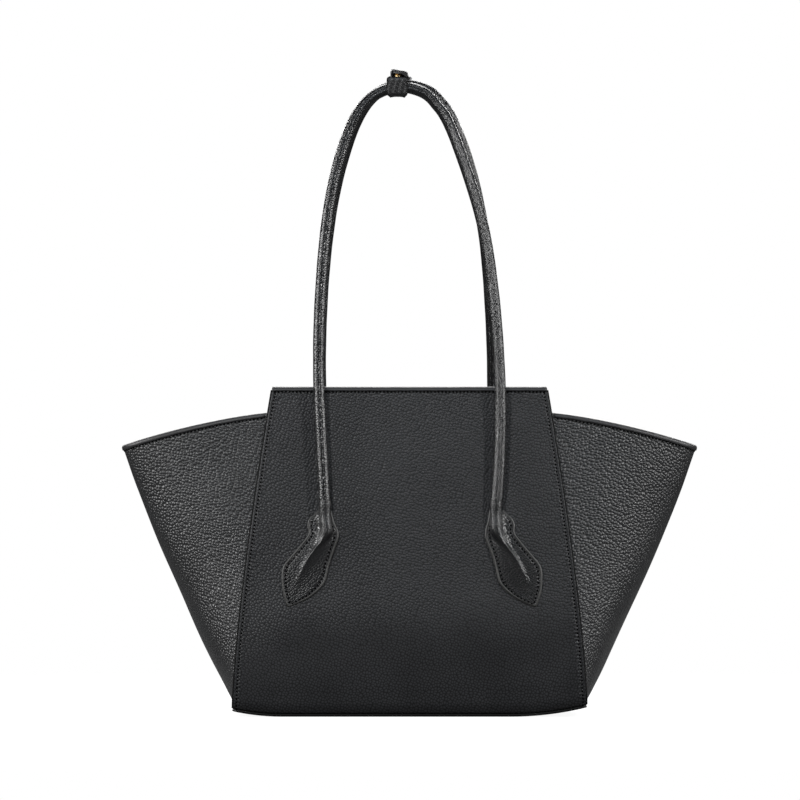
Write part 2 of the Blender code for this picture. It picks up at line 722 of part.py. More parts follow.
def zip_pocket():
    """Make the zipped pocket on the back lining, with its slider and hanging pull."""
    wall = PANEL_THICKNESS + 2 * GAP + LINING_THICKNESS
    reach = ZIP_LENGTH / 2 + ZIP_FRAME_BORDER
    frame = wall_frame(reach, ZIP_HEIGHT, wall)
    outer_height = ZIP_OPENING + 2 * ZIP_FRAME_BORDER
    tape_outline = rounded_rectangle(ZIP_LENGTH + ZIP_FRAME_BORDER, ZIP_OPENING + ZIP_FRAME_BORDER, GAP)
    tape = flat_outline("zip_tape", (tape_outline,), ZIP_TAPE_THICKNESS, LINING)
    tape.matrix_world = frame @ Matrix.Translation((0.0, 0.0, ZIP_TAPE_THICKNESS / 2))
    border = rounded_rectangle(2 * reach, outer_height, ZIP_FRAME_BORDER / 2)
    slot = rounded_rectangle(ZIP_LENGTH, ZIP_OPENING, ZIP_FRAME_BORDER / 4)
    surround = flat_outline("zip_frame", (border, slot), ZIP_FRAME_THICKNESS, LEATHER)
    surround_height = ZIP_TAPE_THICKNESS + GAP + ZIP_FRAME_THICKNESS / 2
    surround.matrix_world = frame @ Matrix.Translation((0.0, 0.0, surround_height))

    body = rounded_rectangle(SLIDER_LENGTH, SLIDER_WIDTH, SLIDER_WIDTH / 3)
    slider = flat_outline("zip_slider", (body,), SLIDER_THICKNESS, BRASS)
    start = -ZIP_LENGTH / 2 + SLIDER_LENGTH / 2 + GAP
    slider_height = ZIP_TAPE_THICKNESS + GAP + SLIDER_THICKNESS / 2
    slider.matrix_world = frame @ Matrix.Translation((start, 0.0, slider_height))

    pull_outline = rounded_rectangle(PULL_WIDTH, PULL_LENGTH, PULL_WIDTH / 3)
    pull = flat_outline("zip_pull", (pull_outline,), PULL_THICKNESS, BRASS)
    hinge_height = slider_height + SLIDER_THICKNESS / 2 + GAP + PULL_THICKNESS / 2
    hinge = frame @ Vector((start, 0.0, hinge_height))
    upright = Matrix(((1, 0, 0, 0), (0, 0, -1, 0), (0, 1, 0, 0), (0, 0, 0, 1)))
    drop = Matrix.Translation((0.0, 0.0, -PULL_LENGTH / 2))
    pull.matrix_world = Matrix.Translation(hinge) @ drop @ upright

    pocket_top = ZIP_HEIGHT - outer_height / 2 - GAP
    surface = inset(panel, wall - GAP + POCKET_SEAT)
    share = reach / half_width(ZIP_HEIGHT)

    def pocket(w, height):
        return surface(w * share * half_width(ZIP_HEIGHT) / half_width(height), height)

    rows = even_steps(pocket_top - POCKET_DEPTH, pocket_top, 4)
    sheet("zip_pocket_panel", pocket, even_steps(-1.0, 1.0, 16), rows, LINING_THICKNESS, LINING, turned=True)


def slip_pocket():
    """Make the open pocket sewn flat on the front lining."""
    wall = PANEL_THICKNESS + GAP + LINING_THICKNESS + POCKET_SEAT
    surface = inset(panel, wall)

    def pocket(x, height):
        return surface(x / half_width(height), height)

    columns = even_steps(-SLIP_POCKET_WIDTH / 2, SLIP_POCKET_WIDTH / 2, 14)
    rows = even_steps(SLIP_POCKET_TOP - SLIP_POCKET_DEPTH, SLIP_POCKET_TOP, 4)
    sheet("slip_pocket_panel", pocket, columns, rows, LINING_THICKNESS, LINING)


def magnetic_snap():
    """Make the two halves of the magnetic snap on the facings, the stud behind and the socket in front."""
    wall = PANEL_THICKNESS + 2 * GAP + FACING_THICKNESS
    frame = wall_frame(MAGNET_RADIUS, PANEL_TOP - MAGNET_DROP, wall)
    stud = turned_piece("magnetic_snap_stud", (
        (0.0, MAGNET_THICKNESS + MAGNET_BOSS_HEIGHT), (MAGNET_BOSS_RADIUS, MAGNET_THICKNESS + MAGNET_BOSS_HEIGHT),
        (MAGNET_BOSS_RADIUS, MAGNET_THICKNESS), (MAGNET_RADIUS, MAGNET_THICKNESS),
        (MAGNET_RADIUS, 0.0), (0.0, 0.0)), BRASS)
    stud.matrix_world = frame
    socket = turned_piece("magnetic_snap_socket", (
        (0.0, MAGNET_THICKNESS / 2), (MAGNET_BOSS_RADIUS + GAP, MAGNET_THICKNESS / 2),
        (MAGNET_BOSS_RADIUS + GAP, MAGNET_THICKNESS + MAGNET_BOSS_HEIGHT / 2),
        (MAGNET_RADIUS - GAP, MAGNET_THICKNESS + MAGNET_BOSS_HEIGHT / 2),
        (MAGNET_RADIUS, MAGNET_THICKNESS), (MAGNET_RADIUS, 0.0), (0.0, 0.0)), BRASS)
    socket.matrix_world = HALF_TURN @ frame


def main():
    """Clear the scene and build the bag."""
    for item in list(bpy.data.objects):
        bpy.data.objects.remove(item)
    bag = bpy.data.collections.new("shopper_bag")
    bpy.context.scene.collection.children.link(bag)

    for side, turned in (("front", False), ("back", True)):
        panel_side(side, turned)
    for side, turned in (("right", False), ("left", True)):
        gusset_side(side, turned)
    base()
    zip_pocket()
    slip_pocket()
    magnetic_snap()

    front_path = handle_path(FRONT_ARCH_SHARES, HANDLE_RISE, -1)
    back_path = handle_path(BACK_ARCH_SHARES, HANDLE_RISE + BACK_HANDLE_LIFT, 1)
    for side, path in (("front", front_path), ("back", back_path)):
        handle_cover(side + "_handle_cover", path)
        handle_core(side + "_handle_core", path)
    for side, turned in (("front", False), ("back", True)):
        for place, sign in (("left", -1), ("right", 1)):
            seen = sign if not turned else -sign
            handle_tab(side + "_" + place + "_handle_tab", seen, turned)
    keeper(front_path, back_path)


main()
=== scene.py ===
"""Dress the winged shopper bag: pebbled leather, rolled handles, stitching, lining and fittings.

Lengths are in metres unless a class says otherwise, +Z is up and the front faces -Y, as in the solid model.
"""

import json
import logging
import math
from dataclasses import dataclass
from enum import Enum
from typing import Callable, Dict, List, Optional, Sequence, Tuple, Union

import bmesh
import bpy
import numpy as np
from mathutils import Matrix, Vector

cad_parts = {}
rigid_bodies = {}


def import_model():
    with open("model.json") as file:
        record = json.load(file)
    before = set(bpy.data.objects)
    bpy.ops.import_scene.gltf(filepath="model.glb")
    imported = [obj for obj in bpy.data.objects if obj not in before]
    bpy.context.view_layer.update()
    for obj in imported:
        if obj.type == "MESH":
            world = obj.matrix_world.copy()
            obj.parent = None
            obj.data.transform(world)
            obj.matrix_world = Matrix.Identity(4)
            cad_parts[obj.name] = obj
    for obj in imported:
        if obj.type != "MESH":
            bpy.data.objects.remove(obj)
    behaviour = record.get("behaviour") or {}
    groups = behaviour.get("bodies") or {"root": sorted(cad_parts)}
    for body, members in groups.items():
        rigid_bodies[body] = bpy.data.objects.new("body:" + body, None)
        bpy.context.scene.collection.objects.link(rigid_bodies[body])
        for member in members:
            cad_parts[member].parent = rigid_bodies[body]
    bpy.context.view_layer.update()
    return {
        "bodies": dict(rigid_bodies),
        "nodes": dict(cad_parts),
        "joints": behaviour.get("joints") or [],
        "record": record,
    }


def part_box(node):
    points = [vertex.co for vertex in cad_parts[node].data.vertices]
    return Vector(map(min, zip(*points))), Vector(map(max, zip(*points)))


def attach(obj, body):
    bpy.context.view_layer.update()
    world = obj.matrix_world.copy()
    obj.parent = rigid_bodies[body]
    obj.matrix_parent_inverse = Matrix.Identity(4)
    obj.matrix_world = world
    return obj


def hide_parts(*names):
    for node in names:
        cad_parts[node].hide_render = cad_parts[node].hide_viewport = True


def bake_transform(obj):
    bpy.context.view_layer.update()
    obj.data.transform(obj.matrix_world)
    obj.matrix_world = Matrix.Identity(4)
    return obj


LOG = logging.getLogger("shopper_bag")
Points = np.ndarray
Surface = Callable[[Points, Points], Points]
Colour = Tuple[float, float, float]
Pairs = Sequence[Tuple[float, float]]


class Stand(Enum):
    """Where a wall stands. Each is worked out at the front or the right, and then put in its place."""

    def put(self, points: Points) -> Points:
        """Return the wall's places, half way round +Z where it stands at the back or the left."""
        return points * np.array((-1.0, -1.0, 1.0)) if self.value in ("back", "left") else points.copy()


class Side(Stand):
    """A big panel, by the way that it faces."""

    FRONT = "front"
    BACK = "back"


class Wing(Stand):
    """A wing, by its side as the front is seen."""

    RIGHT = "right"
    LEFT = "left"


class Follows(Enum):
    """What a pattern is laid out on."""

    SURFACE = "UV"
    SPACE = "Object"


def clamp(value: Points) -> Points:
    """Return the values held between nought and one."""
    return np.clip(value, 0.0, 1.0)


def ease(value: Points) -> Points:
    """Return a smooth step of the values between nought and one."""
    held = clamp(value)
    return held * held * (3 - 2 * held)


def bell(value: Points) -> Points:
    """Return one at nought, falling smoothly away to either side."""
    return np.exp(-(value ** 2))


def unit(vectors: Points) -> Points:
    """Return the vectors at length one."""
    return vectors / np.maximum(np.linalg.norm(vectors, axis=-1, keepdims=True), 1e-12)


def smooth_path(points: Points, steps: int) -> Points:
    """Return points along a Catmull-Rom curve through the given ones.

    Args:
        points: the places that the curve passes, one to a row.
        steps: how many steps lie between two of them.

    Returns:
        The places along the curve, the last given one included.
    """
    padded = np.vstack((2 * points[0] - points[1], points, 2 * points[-1] - points[-2]))
    path = []
    for before, start, end, after in zip(padded, padded[1:], padded[2:], padded[3:]):
        for index in range(steps):
            t = index / steps
            cubic = 3 * start - before - 3 * end + after
            square = 2 * before - 5 * start + 4 * end - after
            path.append(start + (end - before) * t / 2 + square * t * t / 2 + cubic * t ** 3 / 2)
    return np.array(path + [points[-1]])


def runs(path: Points) -> Points:
    """Return how far along a path each of its places lies."""
    steps = np.linalg.norm(np.diff(path[:, :3], axis=0), axis=1)
    return np.concatenate(([0.0], np.cumsum(steps)))


def evenly(path: Points, gap: float) -> Points:
    """Return places a fixed distance apart along a path.

    Args:
        path: its places, one to a row, and any values that go with them after the third column.
        gap: the distance between two places.

    Returns:
        The new places, the path's start and end included.
    """
    passed = runs(path)
    count = max(1, int(round(passed[-1] / gap)))
    stops = np.linspace(0.0, passed[-1], count + 1)
    return np.stack([np.interp(stops, passed, column) for column in path.T], axis=-1)


def rounded(width: float, height: float, radius: float, steps: int = 6) -> List[Tuple[float, float]]:
    """Return the outline of a rectangle with round corners about the origin.

    Args:
        width: the rectangle's width.
        height: its height.
        radius: its corners' radius.
        steps: how many edges a corner has.

    Returns:
        The outline's places in order.
    """
    outline = []
    for corner, (sx, sy) in enumerate(((1, 1), (-1, 1), (-1, -1), (1, -1))):
        for step in range(steps + 1):
            angle = math.pi / 2 * (corner + step / steps)
            outline.append((sx * (width / 2 - radius) + radius * math.cos(angle),
                            sy * (height / 2 - radius) + radius * math.sin(angle)))
    return outline


def closed(outline: Pairs) -> Points:
    """Return an outline as an array that ends where it starts."""
    return np.array((*outline, outline[0]))


# Shader graphs


class Value:
    """One output of a node. Python's own operators on it add Math nodes."""

    def __init__(self, graph: "Graph", node: bpy.types.Node, output: Union[int, str]) -> None:
        """Keep the graph, the node and which output this is."""
        self.graph = graph
        self.node = node
        self.socket = node.outputs[output]

    def other(self, output: Union[int, str]) -> "Value":
        """Return another output of the same node."""
        return Value(self.graph, self.node, output)

    def __add__(self, other: "Number") -> "Value":
        """Return the sum."""
        return self.graph.math("ADD", self, other)

    __radd__ = __add__

    def __sub__(self, other: "Number") -> "Value":
        """Return the difference."""
        return self.graph.math("SUBTRACT", self, other)

    def __rsub__(self, other: "Number") -> "Value":
        """Return the difference from a number."""
        return self.graph.math("SUBTRACT", other, self)

    def __mul__(self, other: "Number") -> "Value":
        """Return the product."""
        return self.graph.math("MULTIPLY", self, other)

    __rmul__ = __mul__

    def between(self, low: float, high: float) -> "Value":
        """Return nought at low and one at high, held in that range and smooth between."""
        inputs = {"Value": self, "From Min": low, "From Max": high}
        return self.graph.node("ShaderNodeMapRange", {"interpolation_type": "SMOOTHSTEP"}, inputs)


Number = Union[Value, float]


class Graph:
    """The nodes of one material."""

    def __init__(self, name: str) -> None:
        """Start a material that holds only its output and one Principled shader."""
        self.material = bpy.data.materials.new(name)
        self.material.use_nodes = True
        self.tree = self.material.node_tree
        self.shader = self.tree.nodes["Principled BSDF"]

    def node(self, kind: str, settings: Optional[dict] = None, inputs: Optional[dict] = None,
             output: Union[int, str] = 0) -> Value:
        """Add a node.

        Args:
            kind: the node's type.
            settings: its options by name.
            inputs: a value or a link for each socket, by name or number.
            output: which output is returned.

        Returns:
            That output.
        """
        made = self.tree.nodes.new(kind)
        for key, setting in (settings or {}).items():
            setattr(made, key, setting)
        for key, given in (inputs or {}).items():
            self.feed(made.inputs[key], given)
        return Value(self, made, output)

    def feed(self, socket: bpy.types.NodeSocket, given: Union[Number, Tuple[float, ...]]) -> None:
        """Link a node's output to a socket, or set the socket to a constant."""
        if isinstance(given, Value):
            self.tree.links.new(given.socket, socket)
        else:
            socket.default_value = given

    def math(self, operation: str, first: Number, second: Number) -> Value:
        """Return a Math node's result on two values."""
        return self.node("ShaderNodeMath", {"operation": operation}, {0: first, 1: second})

    def vector(self, operation: str, inputs: dict, output: Union[int, str] = 0) -> Value:
        """Return a Vector Math node's result."""
        return self.node("ShaderNodeVectorMath", {"operation": operation}, inputs, output)

    @staticmethod
    def opaque(colour: Union[Value, Colour]) -> Union[Value, Tuple[float, ...]]:
        """Return a constant colour with its alpha, and a linked one as it is."""
        return (*colour, 1.0) if isinstance(colour, tuple) else colour

    def mix(self, factor: Number, first: Union[Value, Colour], second: Union[Value, Colour]) -> Value:
        """Return a colour between two, by a factor."""
        inputs = {0: factor, 6: self.opaque(first), 7: self.opaque(second)}
        return self.node("ShaderNodeMix", {"data_type": "RGBA"}, inputs, 2)

    def place(self, follows: Follows, turn: float = 0.0, stretch: Colour = (1.0, 1.0, 1.0)) -> Value:
        """Return the coordinates that a pattern is laid out on.

        Args:
            follows: the piece's own surface in metres, or the space it is in.
            turn: how far the pattern is turned, in radians.
            stretch: how much tighter the pattern is along each axis.

        Returns:
            The coordinates.
        """
        source = self.node("ShaderNodeTexCoord", output=follows.value)
        inputs = {"Vector": source, "Rotation": (0.0, 0.0, turn), "Scale": stretch}
        return self.node("ShaderNodeMapping", None, inputs)

    def noise(self, place: Value, size: float, detail: float = 3.0, output: Union[int, str] = 0) -> Value:
        """Return a noise whose lumps have about that size in metres."""
        inputs = {"Vector": place, "Scale": 1 / size, "Detail": detail}
        return self.node("ShaderNodeTexNoise", None, inputs, output)

    def wave(self, place: Value, scale: float, direction: str = "DIAGONAL") -> Value:
        """Return straight bands, closer together for a larger scale."""
        inputs = {"Vector": place, "Scale": scale}
        return self.node("ShaderNodeTexWave", {"bands_direction": direction}, inputs, 1)

    def bent(self, place: Value, size: float, reach: float) -> Value:
        """Return coordinates moved about by a noise.

        Args:
            place: the coordinates.
            size: the size of the noise's lumps.
            reach: about how far they are moved at most.

        Returns:
            The moved coordinates.
        """
        centred = self.vector("SUBTRACT", {0: self.noise(place, size, 2.0, "Color"), 1: (0.5, 0.5, 0.5)})
        scaled = self.vector("SCALE", {0: centred, "Scale": 2 * reach})
        return self.vector("ADD", {0: place, 1: scaled})

    def cells(self, place: Value, size: float, feature: str, randomness: float, flat: bool) -> Value:
        """Return a Voronoi distance for cells of that size in metres."""
        settings = {"feature": feature, "voronoi_dimensions": "2D" if flat else "3D"}
        inputs = {"Vector": place, "Scale": 1 / size, "Randomness": randomness}
        return self.node("ShaderNodeTexVoronoi", settings, inputs, "Distance")

    def finish(self, colour: Union[Value, Colour], roughness: Number, metallic: float = 0.0,
               height: Optional[Value] = None, relief: float = 0.0, **constants: float) -> bpy.types.Material:
        """Wire the shader up.

        Args:
            colour: the base colour.
            roughness: the roughness.
            metallic: one for metal and nought for the rest.
            height: the relief's height, from nought to one.
            relief: the relief's height in metres.
            constants: other sockets of the shader, with underscores for spaces.

        Returns:
            The finished material.
        """
        given = {"Base Color": self.opaque(colour), "Roughness": roughness, "Metallic": metallic}
        given.update({name.replace("_", " "): constant for name, constant in constants.items()})
        if height is not None:
            bump = {"Height": height, "Distance": relief, "Strength": 1.0}
            given["Normal"] = self.node("ShaderNodeBump", None, bump)
        for name, value in given.items():
            self.feed(self.shader.inputs[name], value)
        return self.material


# Finishes


@dataclass(frozen=True)
class Finish:
    """A surface finish, made once and shared by the pieces that wear it."""

    name: str

    def material(self) -> bpy.types.Material:
        """Return the finish's material, made at its first use."""
        found = bpy.data.materials.get(self.name)
        return found or self.make(Graph(self.name))

    def make(self, graph: Graph) -> bpy.types.Material:
        """Return the material drawn on a new graph."""
        raise NotImplementedError

    @staticmethod
    def dimmed(colour: Colour, share: float) -> Colour:
        """Return a share of a colour."""
        return tuple(part * share for part in colour)


@dataclass(frozen=True)
class Leather(Finish):
    """Black leather with a pressed pebble grain."""

    pitch: float = 0.0027
    relief: float = 0.00050
    dome: Colour = (0.0088, 0.0090, 0.0098)
    valley: Colour = (0.0022, 0.0022, 0.0024)
    roughness: float = 0.33
    follows: Follows = Follows.SURFACE
    turn: float = 0.35
    lean: float = 1.05
    gloss: float = 0.5
    puckered: bool = False
    randomness: float = 0.80
    patch: float = 0.045
    lump_start: Tuple[float, float] = (0.0034, 0.0044)
    lump_end: Tuple[float, float] = (0.0046, 0.0066)
    pressed_end: Tuple[float, float] = (0.0022, 0.0046)
    pressed_stitches: Tuple[float, float] = (5.0, 40.0)

    def make(self, graph: Graph) -> bpy.types.Material:
        """Draw rows of pebbles that lean a little, with fine pores and soft changes of tone."""
        flat = self.follows is Follows.SURFACE
        place = graph.place(self.follows, self.turn, (1.0, self.lean, 1.0))
        bent = graph.bent(place, self.pitch * 4, self.pitch * 0.30)
        dome = 1 - graph.cells(bent, self.pitch, "F1", self.randomness, flat).between(0.0, 0.80)
        edge = graph.cells(bent, self.pitch, "DISTANCE_TO_EDGE", self.randomness, flat)
        crease = edge.between(0.01, 0.28)
        pores = graph.noise(place, self.pitch / 5, 2.0)
        waves = graph.noise(place, self.pitch * 7, 2.0)
        height = dome * 0.60 + crease * 0.25 + pores * 0.08 + waves * 0.60
        if self.puckered:
            height = self.pucker(graph, height)
        # Colour: the creases between pebbles take the darker valley colour, partly the leather's own grain
        # tone and partly painted shade in the hollows.
        tone = crease * 0.68 + dome * 0.32
        patch = graph.noise(place, self.patch, 3.0).between(0.25, 0.75)
        colour = graph.mix(tone * (0.75 + patch * 0.25), self.valley, self.dome)
        roughness = self.roughness + 0.14 - tone * 0.14 + (patch - 0.5) * 0.05 + (pores - 0.5) * 0.08
        return graph.finish(colour, roughness, 0.0, height, self.relief, Specular_IOR_Level=self.gloss)

    def pucker(self, graph: Graph, grain: Value) -> Value:
        """Return the grain with the lumps that stitches raise beside a seam, and pressed flat at its edge.

        Args:
            graph: the material's nodes.
            grain: the grain's height.

        Returns:
            The height with both.
        """
        seam = graph.node("ShaderNodeUVMap", {"uv_map": "Seam"})
        inward = graph.node("ShaderNodeSeparateXYZ", None, {0: seam})
        count = inward.other(1)
        beat = graph.math("COSINE", count * (2 * math.pi), 0.0) * 0.5 + 0.5
        lump = inward.between(*self.lump_start) * (1 - inward.between(*self.lump_end))
        pressed = inward.between(*self.pressed_end) * (0.22 + count.between(*self.pressed_stitches) * 0.78)
        return grain * (0.10 + pressed * 0.90) + lump * beat * 0.9


@dataclass(frozen=True)
class EdgePaint(Finish):
    """The painted or turned edge of the leather, smoother and a little lighter."""

    colour: Colour = (0.060, 0.059, 0.058)
    roughness: float = 0.38
    gloss: float = 0.5

    def make(self, graph: Graph) -> bpy.types.Material:
        """Draw a thick paint with faint lumps and worn spots."""
        place = graph.place(Follows.SPACE)
        lumps = graph.noise(place, 0.0022, 3.0)
        wear = graph.noise(place, 0.009, 4.0).between(0.45, 0.75)
        colour = graph.mix(wear, self.dimmed(self.colour, 0.62), self.colour)
        roughness = self.roughness + lumps * 0.15
        return graph.finish(colour, roughness, 0.0, lumps, 0.00012, Specular_IOR_Level=self.gloss)


@dataclass(frozen=True)
class Thread(Finish):
    """Waxed black sewing thread."""

    def make(self, graph: Graph) -> bpy.types.Material:
        """Draw a fine twist over the thread."""
        twist = graph.wave(graph.place(Follows.SPACE), 700.0)
        colour = graph.mix(twist, (0.014, 0.014, 0.015), (0.036, 0.036, 0.038))
        return graph.finish(colour, 0.42 + twist * 0.15, 0.0, twist, 0.00006)


@dataclass(frozen=True)
class NeedleHoleShade(Finish):
    """A matt black spot that paints the shade inside the hole a needle leaves."""

    def make(self, graph: Graph) -> bpy.types.Material:
        """Draw a matt black that varies a little."""
        grain = graph.noise(graph.place(Follows.SPACE), 0.0006, 2.0)
        colour = graph.mix(grain, (0.0008, 0.0008, 0.0008), (0.0022, 0.0022, 0.0023))
        return graph.finish(colour, 0.9, Specular_IOR_Level=0.0)


@dataclass(frozen=True)
class Cloth(Finish):
    """Woven lining cloth with a diagonal rib."""

    colour: Colour = (0.060, 0.057, 0.054)
    pitch: float = 0.0007
    follows: Follows = Follows.SURFACE

    def make(self, graph: Graph) -> bpy.types.Material:
        """Draw two crossing sets of yarns with a rib across them."""
        place = graph.place(self.follows)
        soft = graph.bent(place, 0.012, 0.0004)
        warp, weft = (graph.wave(soft, 0.314 / self.pitch, direction) for direction in ("X", "Y"))
        rib = graph.wave(soft, 0.16 / self.pitch)
        weave = warp * 0.5 + weft * 0.5
        slub = graph.noise(place, 0.004, 4.0)
        height = weave * 0.6 + rib * 0.4 + slub * 0.5
        colour = graph.mix(weave * 0.5 + slub * 0.5, self.dimmed(self.colour, 0.55), self.colour)
        return graph.finish(colour, 0.80 + slub * 0.12, 0.0, height, 0.00018)


@dataclass(frozen=True)
class Metal(Finish):
    """Plated metal with faint wear."""

    colour: Colour = (0.72, 0.53, 0.25)
    roughness: float = 0.24

    def make(self, graph: Graph) -> bpy.types.Material:
        """Draw fine scratches and duller patches."""
        place = graph.place(Follows.SPACE)
        scratches = graph.noise(place, 0.0005, 4.0)
        patches = graph.noise(place, 0.006, 3.0).between(0.35, 0.75)
        colour = graph.mix(patches, self.colour, self.dimmed(self.colour, 0.70))
        roughness = self.roughness + patches * 0.14 + scratches * 0.08
        return graph.finish(colour, roughness, 1.0, scratches, 0.00002)


@dataclass(frozen=True)
class Rope(Finish):
    """The twisted cotton rope inside a handle."""

    def make(self, graph: Graph) -> bpy.types.Material:
        """Draw slanting strands with fine fibres."""
        place = graph.place(Follows.SPACE)
        strand = graph.wave(place, 90.0)
        fibre = graph.noise(place, 0.0007, 4.0)
        colour = graph.mix(strand * 0.7 + fibre * 0.3, (0.16, 0.14, 0.11), (0.36, 0.33, 0.27))
        return graph.finish(colour, 0.85 + fibre * 0.1, 0.0, strand * 0.8 + fibre * 0.2, 0.0006)


@dataclass(frozen=True)
class PressedBoard(Finish):
    """Stiff grey-brown board."""

    def make(self, graph: Graph) -> bpy.types.Material:
        """Draw pressed fibres and flecks."""
        place = graph.place(Follows.SPACE)
        fibre = graph.noise(place, 0.0012, 5.0)
        fleck = graph.noise(place, 0.004, 2.0).between(0.6, 0.8)
        colour = graph.mix(fibre * 0.7 + fleck * 0.3, (0.09, 0.075, 0.06), (0.17, 0.145, 0.12))
        return graph.finish(colour, 0.85 + fibre * 0.1, 0.0, fibre, 0.0002)


BODY_LEATHER = Leather("body_leather", relief=0.00060, dome=(0.0170, 0.0174, 0.0188), gloss=0.50)
PANEL_LEATHER = Leather("panel_leather", pitch=0.0025, relief=0.00036, dome=(0.0310, 0.0318, 0.0342),
                        valley=(0.0016, 0.0016, 0.0018), gloss=0.28, puckered=True)
BACK_LEATHER = Leather("inner_leather", pitch=0.0026, relief=0.0003)
HANDLE_LEATHER = Leather("rolled_leather", pitch=0.0021, relief=0.00020, turn=0.1, roughness=0.17)
TAB_LEATHER = Leather("tab_leather", pitch=0.0022, relief=0.00022, dome=(0.0060, 0.0062, 0.0070),
                      turn=0.6, roughness=0.27)
KEEPER_LEATHER = Leather("keeper_leather", pitch=0.0018, relief=0.00010, dome=(0.013, 0.013, 0.014),
                         turn=0.2, roughness=0.34)
BAND_LEATHER = Leather("band_leather", pitch=0.0016, relief=0.00008, dome=(0.013, 0.013, 0.014),
                       valley=(0.009, 0.009, 0.010), roughness=0.40)
FRAME_LEATHER = Leather("frame_leather", pitch=0.0018, relief=0.00014, follows=Follows.SPACE)
TAB_EDGE_PAINT = EdgePaint("tab_edge_paint", colour=(0.040, 0.039, 0.037))
# Near-black and duller than the leather: black edge paint on the keeper band's edges and the ring's loop, and
# painted shadow along each panel's side edges and along the base welt.
BLACK_EDGE_AND_SHADOW_LINE = EdgePaint("black_edge_paint_and_shadow_line", colour=(0.004, 0.004, 0.004), roughness=0.60, gloss=0.15)
THREAD = Thread("thread")
NEEDLE_HOLE_SHADE = NeedleHoleShade("needle_hole_shade")
LINING = Cloth("lining_cloth")
TAPE = Cloth("zip_tape_cloth", colour=(0.035, 0.034, 0.033), pitch=0.0005, follows=Follows.SPACE)
BRASS = Metal("brass_plating", colour=(0.80, 0.60, 0.30), roughness=0.38)
STEEL = Metal("nickel_plating", colour=(0.60, 0.60, 0.61), roughness=0.36)
ROPE = Rope("rope_cotton")
BOARD = PressedBoard("pressed_board")


# The bag's own shape


